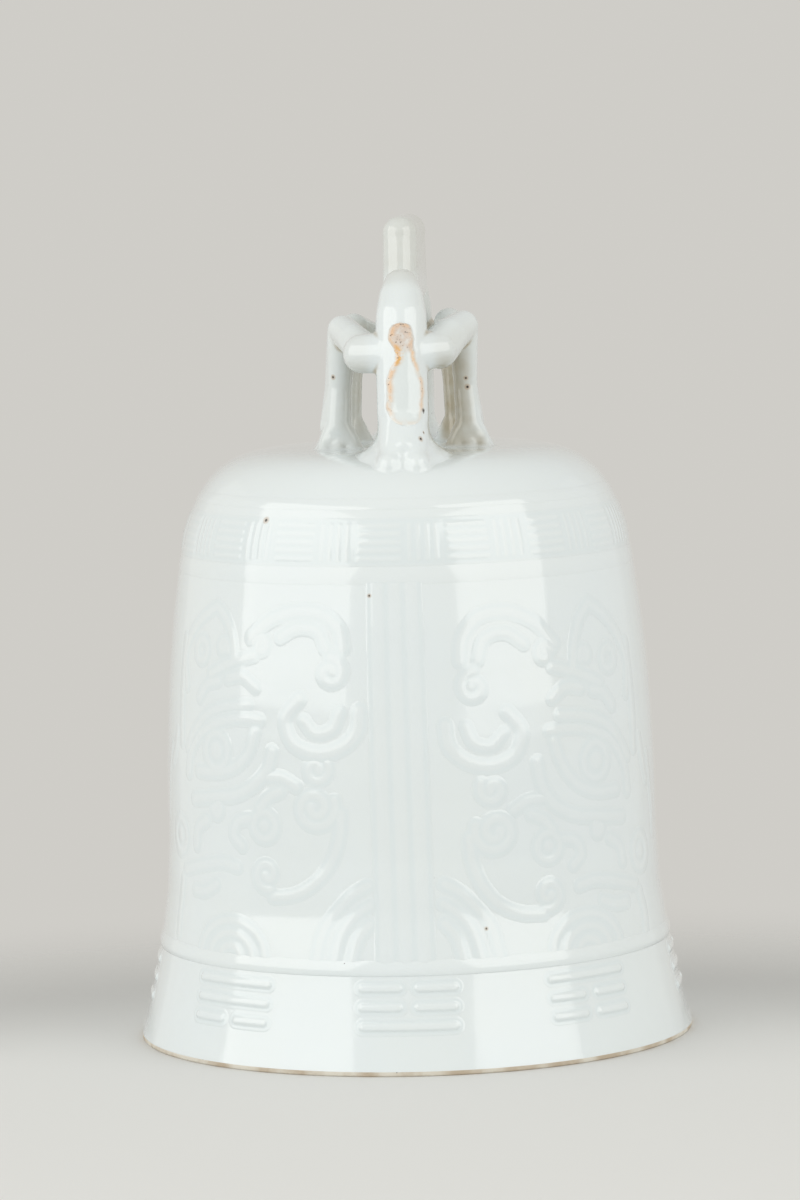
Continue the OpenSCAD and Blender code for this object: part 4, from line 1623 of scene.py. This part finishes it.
    def _pad(self, form: bpy.types.Object, end: End) -> bpy.types.Object:
        """Models the scar on the face of a neck: a round cap, a waist and a long oval below it.

        Args:
            form: The whole loop, for the scar to lie on.
            end: The end that it is on.

        Returns:
            The scar, with its line, its cap, its embers and its burnt grain stored on it.
        """
        node = f"mane_pad_{end.name.lower()}"
        low, high = self.wall.top + 8.3, self.wall.top + 8.3 + self.scar[-1][1]
        Bench.clear()
        bpy.ops.mesh.primitive_grid_add(x_subdivisions=60, y_subdivisions=130, size=2 * MM)
        piece = Bench.named(f"{node}_fired")
        unit = Bench.points(piece)[:, :2]
        across = unit[:, 0] * 7.0
        up = low - 1.2 + (unit[:, 1] + 1) / 2 * (high - low + 2.4)
        out = -end.value
        spots = np.column_stack((-out * across + self.off_middle, np.full(len(up), out * 70.0), up))
        Bench.place(piece, spots)
        Bench.modify(
            piece,
            "SHRINKWRAP",
            target=form,
            wrap_method="PROJECT",
            use_project_y=True,
            use_positive_direction=True,
            use_negative_direction=True,
        )
        along = (up - low) / (high - low)
        wobble = 0.20 * np.sin(along * 19 + np.sign(across)) + 0.10 * np.sin(along * 47)
        profile = flowing(self.scar)
        half = np.interp(up - low, profile[:, 1], profile[:, 0])
        lean = np.interp(along, (0.0, 0.2, 0.5, 0.7, 0.82, 0.92), (1.4, 1.0, 1.1, 1.3, 0.4, 0.0))
        beside = np.abs(across - lean) - half - wobble
        outside = np.maximum(beside, np.maximum(low - up, up - high))
        left = across < lean
        width = np.where(left, 0.85, 0.55)
        line = np.exp(-(((outside + 0.8) / width) ** 2)) * np.where(left, 1.0, 0.8)
        line *= 0.35 + 0.65 * soft_step(0.06, 0.2, along)
        cap = soft_step(0.68, 0.78, along) * (1 - soft_step(-0.6, 0.1, outside))
        waist = np.exp(-(((along - 0.66) / 0.11) ** 2)) * np.where(left, 1.0, 0.6)
        blot = np.hypot(across - lean + 1.9, (up - low - 20.4) / 1.5)
        ember = line * waist + 0.8 * np.exp(-(blot**2) / 1.6)
        spots = Bench.points(piece)
        spots[:, 1] += out * (0.06 + 0.20 * line + 0.10 * cap - 0.24 * soft_step(-0.1, 0.6, outside))
        Bench.place(piece, spots)
        burnt = np.hypot((across - lean - 5.1) + 0.35 * (up - low - 3.6), (up - low - 3.6) * 0.42)
        Bench.mark(piece, "scar", line)
        Bench.mark(piece, "cap", cap)
        Bench.mark(piece, "ember", np.clip(ember, 0, 1))
        Bench.mark(piece, "char", 1 - soft_step(0.28, 0.55, burnt))
        Bench.drop(piece, outside > 0.6)
        Bench.modify(piece, "SOLIDIFY", thickness=0.8 * MM, offset=-1.0)
        Bench.soften(piece, 50.0)
        return piece

    def build(self, dresser: Dresser, form: bpy.types.Object) -> None:
        """Cuts the form into the loop's pieces and dresses them.

        A cut leaves no toast, which also holds painted shade, on the vertices that it makes, so each takes
        it from its nearest neighbour on the whole form.

        Args:
            dresser: Gives the pieces their finishes.
            form: The whole loop.
        """
        tree = KDTree(len(form.data.vertices))
        for index, vertex in enumerate(form.data.vertices):
            tree.insert(vertex.co, index)
        tree.balance()
        # Toast here is toasted glaze and painted shade together.
        toast = form.data.attributes["toast"].data
        for node, (low, high) in self._regions().items():
            piece = Bench.copy_of(form, f"{node}_fired")
            Bench.cut(piece, low, high)
            nearest = [tree.find(vertex.co)[1] for vertex in piece.data.vertices]
            piece.data.attributes["toast"].data.foreach_set("value", [toast[i].value for i in nearest])
            Bench.soften(piece, 50.0)
            dresser.dress(piece, node)
        for end in End:
            dresser.dress(self._pad(form, end), f"mane_pad_{end.name.lower()}", Slot.SCARRED_GLAZE)
        Bench.discard(form)


# ---- the clapper -------------------------------------------------------------------------


@dataclass
class Clapper:
    """The brass hanger and rod, which are kept from the frame, and the turned wooden ball.

    Its scored lines lie at latitudes and have a width in degrees, and a depth in millimetres.
    """

    score_at: Place = (-9.0, 9.0)
    score_width: float = 2.2
    score_depth: float = 0.35

    def _ball(self) -> bpy.types.Object:
        """Turns the ball, with two scored lines round it and a flat where it was parted off."""
        low, high = span_of("clapper_ball")
        radius = (high[2] - low[2]) / 2
        middle = (high[2] + low[2]) / 2
        bore = min(radius * 0.9, self._rod_radius())
        angles = np.radians(np.linspace(-90, 90 - math.degrees(math.asin(bore / radius)), 64))
        bands = [((np.degrees(angles) - at) / self.score_width) ** 2 for at in self.score_at]
        reach = radius - sum(self.score_depth * np.exp(-band) for band in bands)
        face = np.column_stack((reach * np.cos(angles), middle + reach * np.sin(angles)))
        face[0, 0] = 0.0
        seat = [(bore, middle), (0.0, middle)]
        return Bench.lathe("clapper_ball_turned", np.vstack((face, seat)), 96)

    @staticmethod
    def _rod_radius() -> float:
        """Measures the rod below its fork."""
        low, _ = span_of("clapper_rod")
        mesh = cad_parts["clapper_rod"].data
        foot = [v.co for v in mesh.vertices if v.co.z / MM < low[2] + 0.1]
        return max(math.hypot(spot.x, spot.y) / MM for spot in foot)

    def build(self, dresser: Dresser) -> None:
        """Makes the ball and dresses the clapper."""
        dresser.dress(self._ball(), "clapper_ball", Slot.HARDWOOD, "clapper")
        dresser.dress_node("crown_lug", Slot.PORCELAIN)
        for node in ("hanger_pin", "hanger_yoke", "clapper_pin", "clapper_rod"):
            dresser.dress_node(node, Slot.BRASS)


# ---- the studio --------------------------------------------------------------------------


@dataclass
class Softbox:
    """A large soft lamp, by what it covers as seen from the bell."""

    name: str
    bearing: float
    elevation: float
    wide: float
    high: float
    radiance: float
    colour: Colour = (1.0, 0.985, 0.955)
    distance: float = 1200.0

    def hang(self, target: Vector) -> None:
        """Hangs the lamp so that it faces the target."""
        bearing, elevation = math.radians(self.bearing), math.radians(self.elevation)
        way = Vector(
            (
                math.sin(bearing) * math.cos(elevation),
                -math.cos(bearing) * math.cos(elevation),
                math.sin(elevation),
            )
        )
        lamp = bpy.data.lights.new(self.name, "AREA")
        lamp.shape = "RECTANGLE"
        lamp.size = 2 * self.distance * MM * math.tan(math.radians(self.wide / 2))
        lamp.size_y = 2 * self.distance * MM * math.tan(math.radians(self.high / 2))
        lamp.color = self.colour
        lamp.energy = self.radiance * math.pi * lamp.size * lamp.size_y
        holder = bpy.data.objects.new(self.name, lamp)
        bpy.context.scene.collection.objects.link(holder)
        holder.location = target + way * self.distance * MM
        holder.rotation_euler = way.to_track_quat("Z", "Y").to_euler()


@dataclass
class Studio:
    """The camera, the lamps, the pale ground and the floor."""

    camera_bearing: float = 1.75
    camera_distance: float = 1660.0
    camera_height: float = 287.0
    aim_across: float = -2.0
    aim_height: float = 127.2
    camera_roll: float = -1.45
    lens: float = 170.3
    backdrop: Colour = (0.625, 0.612, 0.578)
    floor_pale: Colour = (0.765, 0.775, 0.770)
    floor_far_shade: Colour = (0.600, 0.605, 0.600)
    # Painted shade: the floor's colour far from its middle.
    floor_radius: float = 800.0
    floor_middle: Point = (0.0, -150.0, 0.0)
    boxes: tuple[Softbox, ...] = (
        Softbox("softbox_left", -56.0, 23.5, 60.0, 48.0, 1.27),
        Softbox("softbox_right", 49.5, 23.5, 47.0, 48.0, 1.30),
        Softbox("fill_left", -108.0, 8.0, 60.0, 56.0, 0.12),
        Softbox("fill_right", 106.0, 8.0, 60.0, 56.0, 0.08),
    )

    def _camera(self) -> None:
        """Sets up the camera."""
        bearing = math.radians(self.camera_bearing)
        across = Vector((math.cos(bearing), math.sin(bearing), 0))
        away = Vector((math.sin(bearing), -math.cos(bearing), 0))
        lens = bpy.data.cameras.new("camera")
        lens.lens = self.lens
        lens.sensor_width = 36.0
        lens.clip_start = 0.05
        camera = bpy.data.objects.new("camera", lens)
        bpy.context.scene.collection.objects.link(camera)
        camera.location = (away * self.camera_distance + Vector((0, 0, self.camera_height))) * MM
        aim = (across * self.aim_across + Vector((0, 0, self.aim_height))) * MM
        look = (camera.location - aim).to_track_quat("Z", "Y").to_matrix().to_4x4()
        roll = Matrix.Rotation(math.radians(self.camera_roll), 4, "Z")
        camera.rotation_euler = (look @ roll).to_euler()
        bpy.context.scene.camera = camera

    def _ground(self) -> None:
        """Lights the room evenly."""
        world = bpy.data.worlds.new("pale_room")
        world.use_nodes = True
        world.node_tree.nodes["Background"].inputs["Color"].default_value = (*self.backdrop, 1.0)
        bpy.context.scene.world = world
        bpy.context.scene.view_settings.view_transform = "Standard"

    def _floor(self) -> None:
        """Lays the floor, with painted shade that darkens it away from its middle, and fades it into the
        ground behind.
        """
        shop = ShaderShop("pale_floor")
        reach = shop.distance_to(self.floor_middle)
        # Painted shade: darker from 150 to 260 mm away from the middle, which lies 150 mm in front of the
        # bell.
        colour = shop.blend(reach.between(150.0, 260.0), self.floor_pale, self.floor_far_shade)
        board = shop.node("ShaderNodeBsdfPrincipled", None, {"Base Color": colour, "Roughness": 0.8})
        clear = shop.node("ShaderNodeBsdfTransparent")
        fade = shop.node(
            "ShaderNodeMixShader",
            None,
            {0: reach.between(215.0, 400.0), 1: shop.tap(board), 2: shop.tap(clear)},
        )
        shop.node("ShaderNodeOutputMaterial", None, {"Surface": shop.tap(fade)})
        Bench.clear()
        bpy.ops.mesh.primitive_circle_add(
            vertices=96, radius=self.floor_radius * MM, fill_type="TRIFAN", location=(0, 0, 0)
        )
        floor = Bench.named("floor")
        floor.data.materials.append(shop.material)

    def build(self) -> None:
        """Sets up the whole studio."""
        self._camera()
        self._ground()
        self._floor()
        for box in self.boxes:
            box.hang(Vector((0, 0, 0.1)))


# ---- everything --------------------------------------------------------------------------


def main() -> None:
    """Builds the bell and its studio."""
    logging.basicConfig(level=logging.INFO, format="%(message)s")
    Studio().build()
    wall = BellWall()
    loop = BeastLoop(wall)
    form = loop.press()
    flaws = [Flaw(wall.spot(bearing, height), radius) for bearing, height, radius in WALL_SPECKS]
    flaws += [Flaw(loop.front_of(form, x, z), radius) for x, z, radius in LOOP_SPECKS]
    dresser = Dresser(
        (WhiteGlaze(flaws=tuple(flaws)), ScarredGlaze(), ToastedBiscuit(), AgedBrass(), OiledHardwood())
    )
    wall.build(dresser)
    RaisedWork(wall).build(dresser)
    loop.build(dresser, form)
    Clapper().build(dresser)


if __name__ == "__main__":
    main()
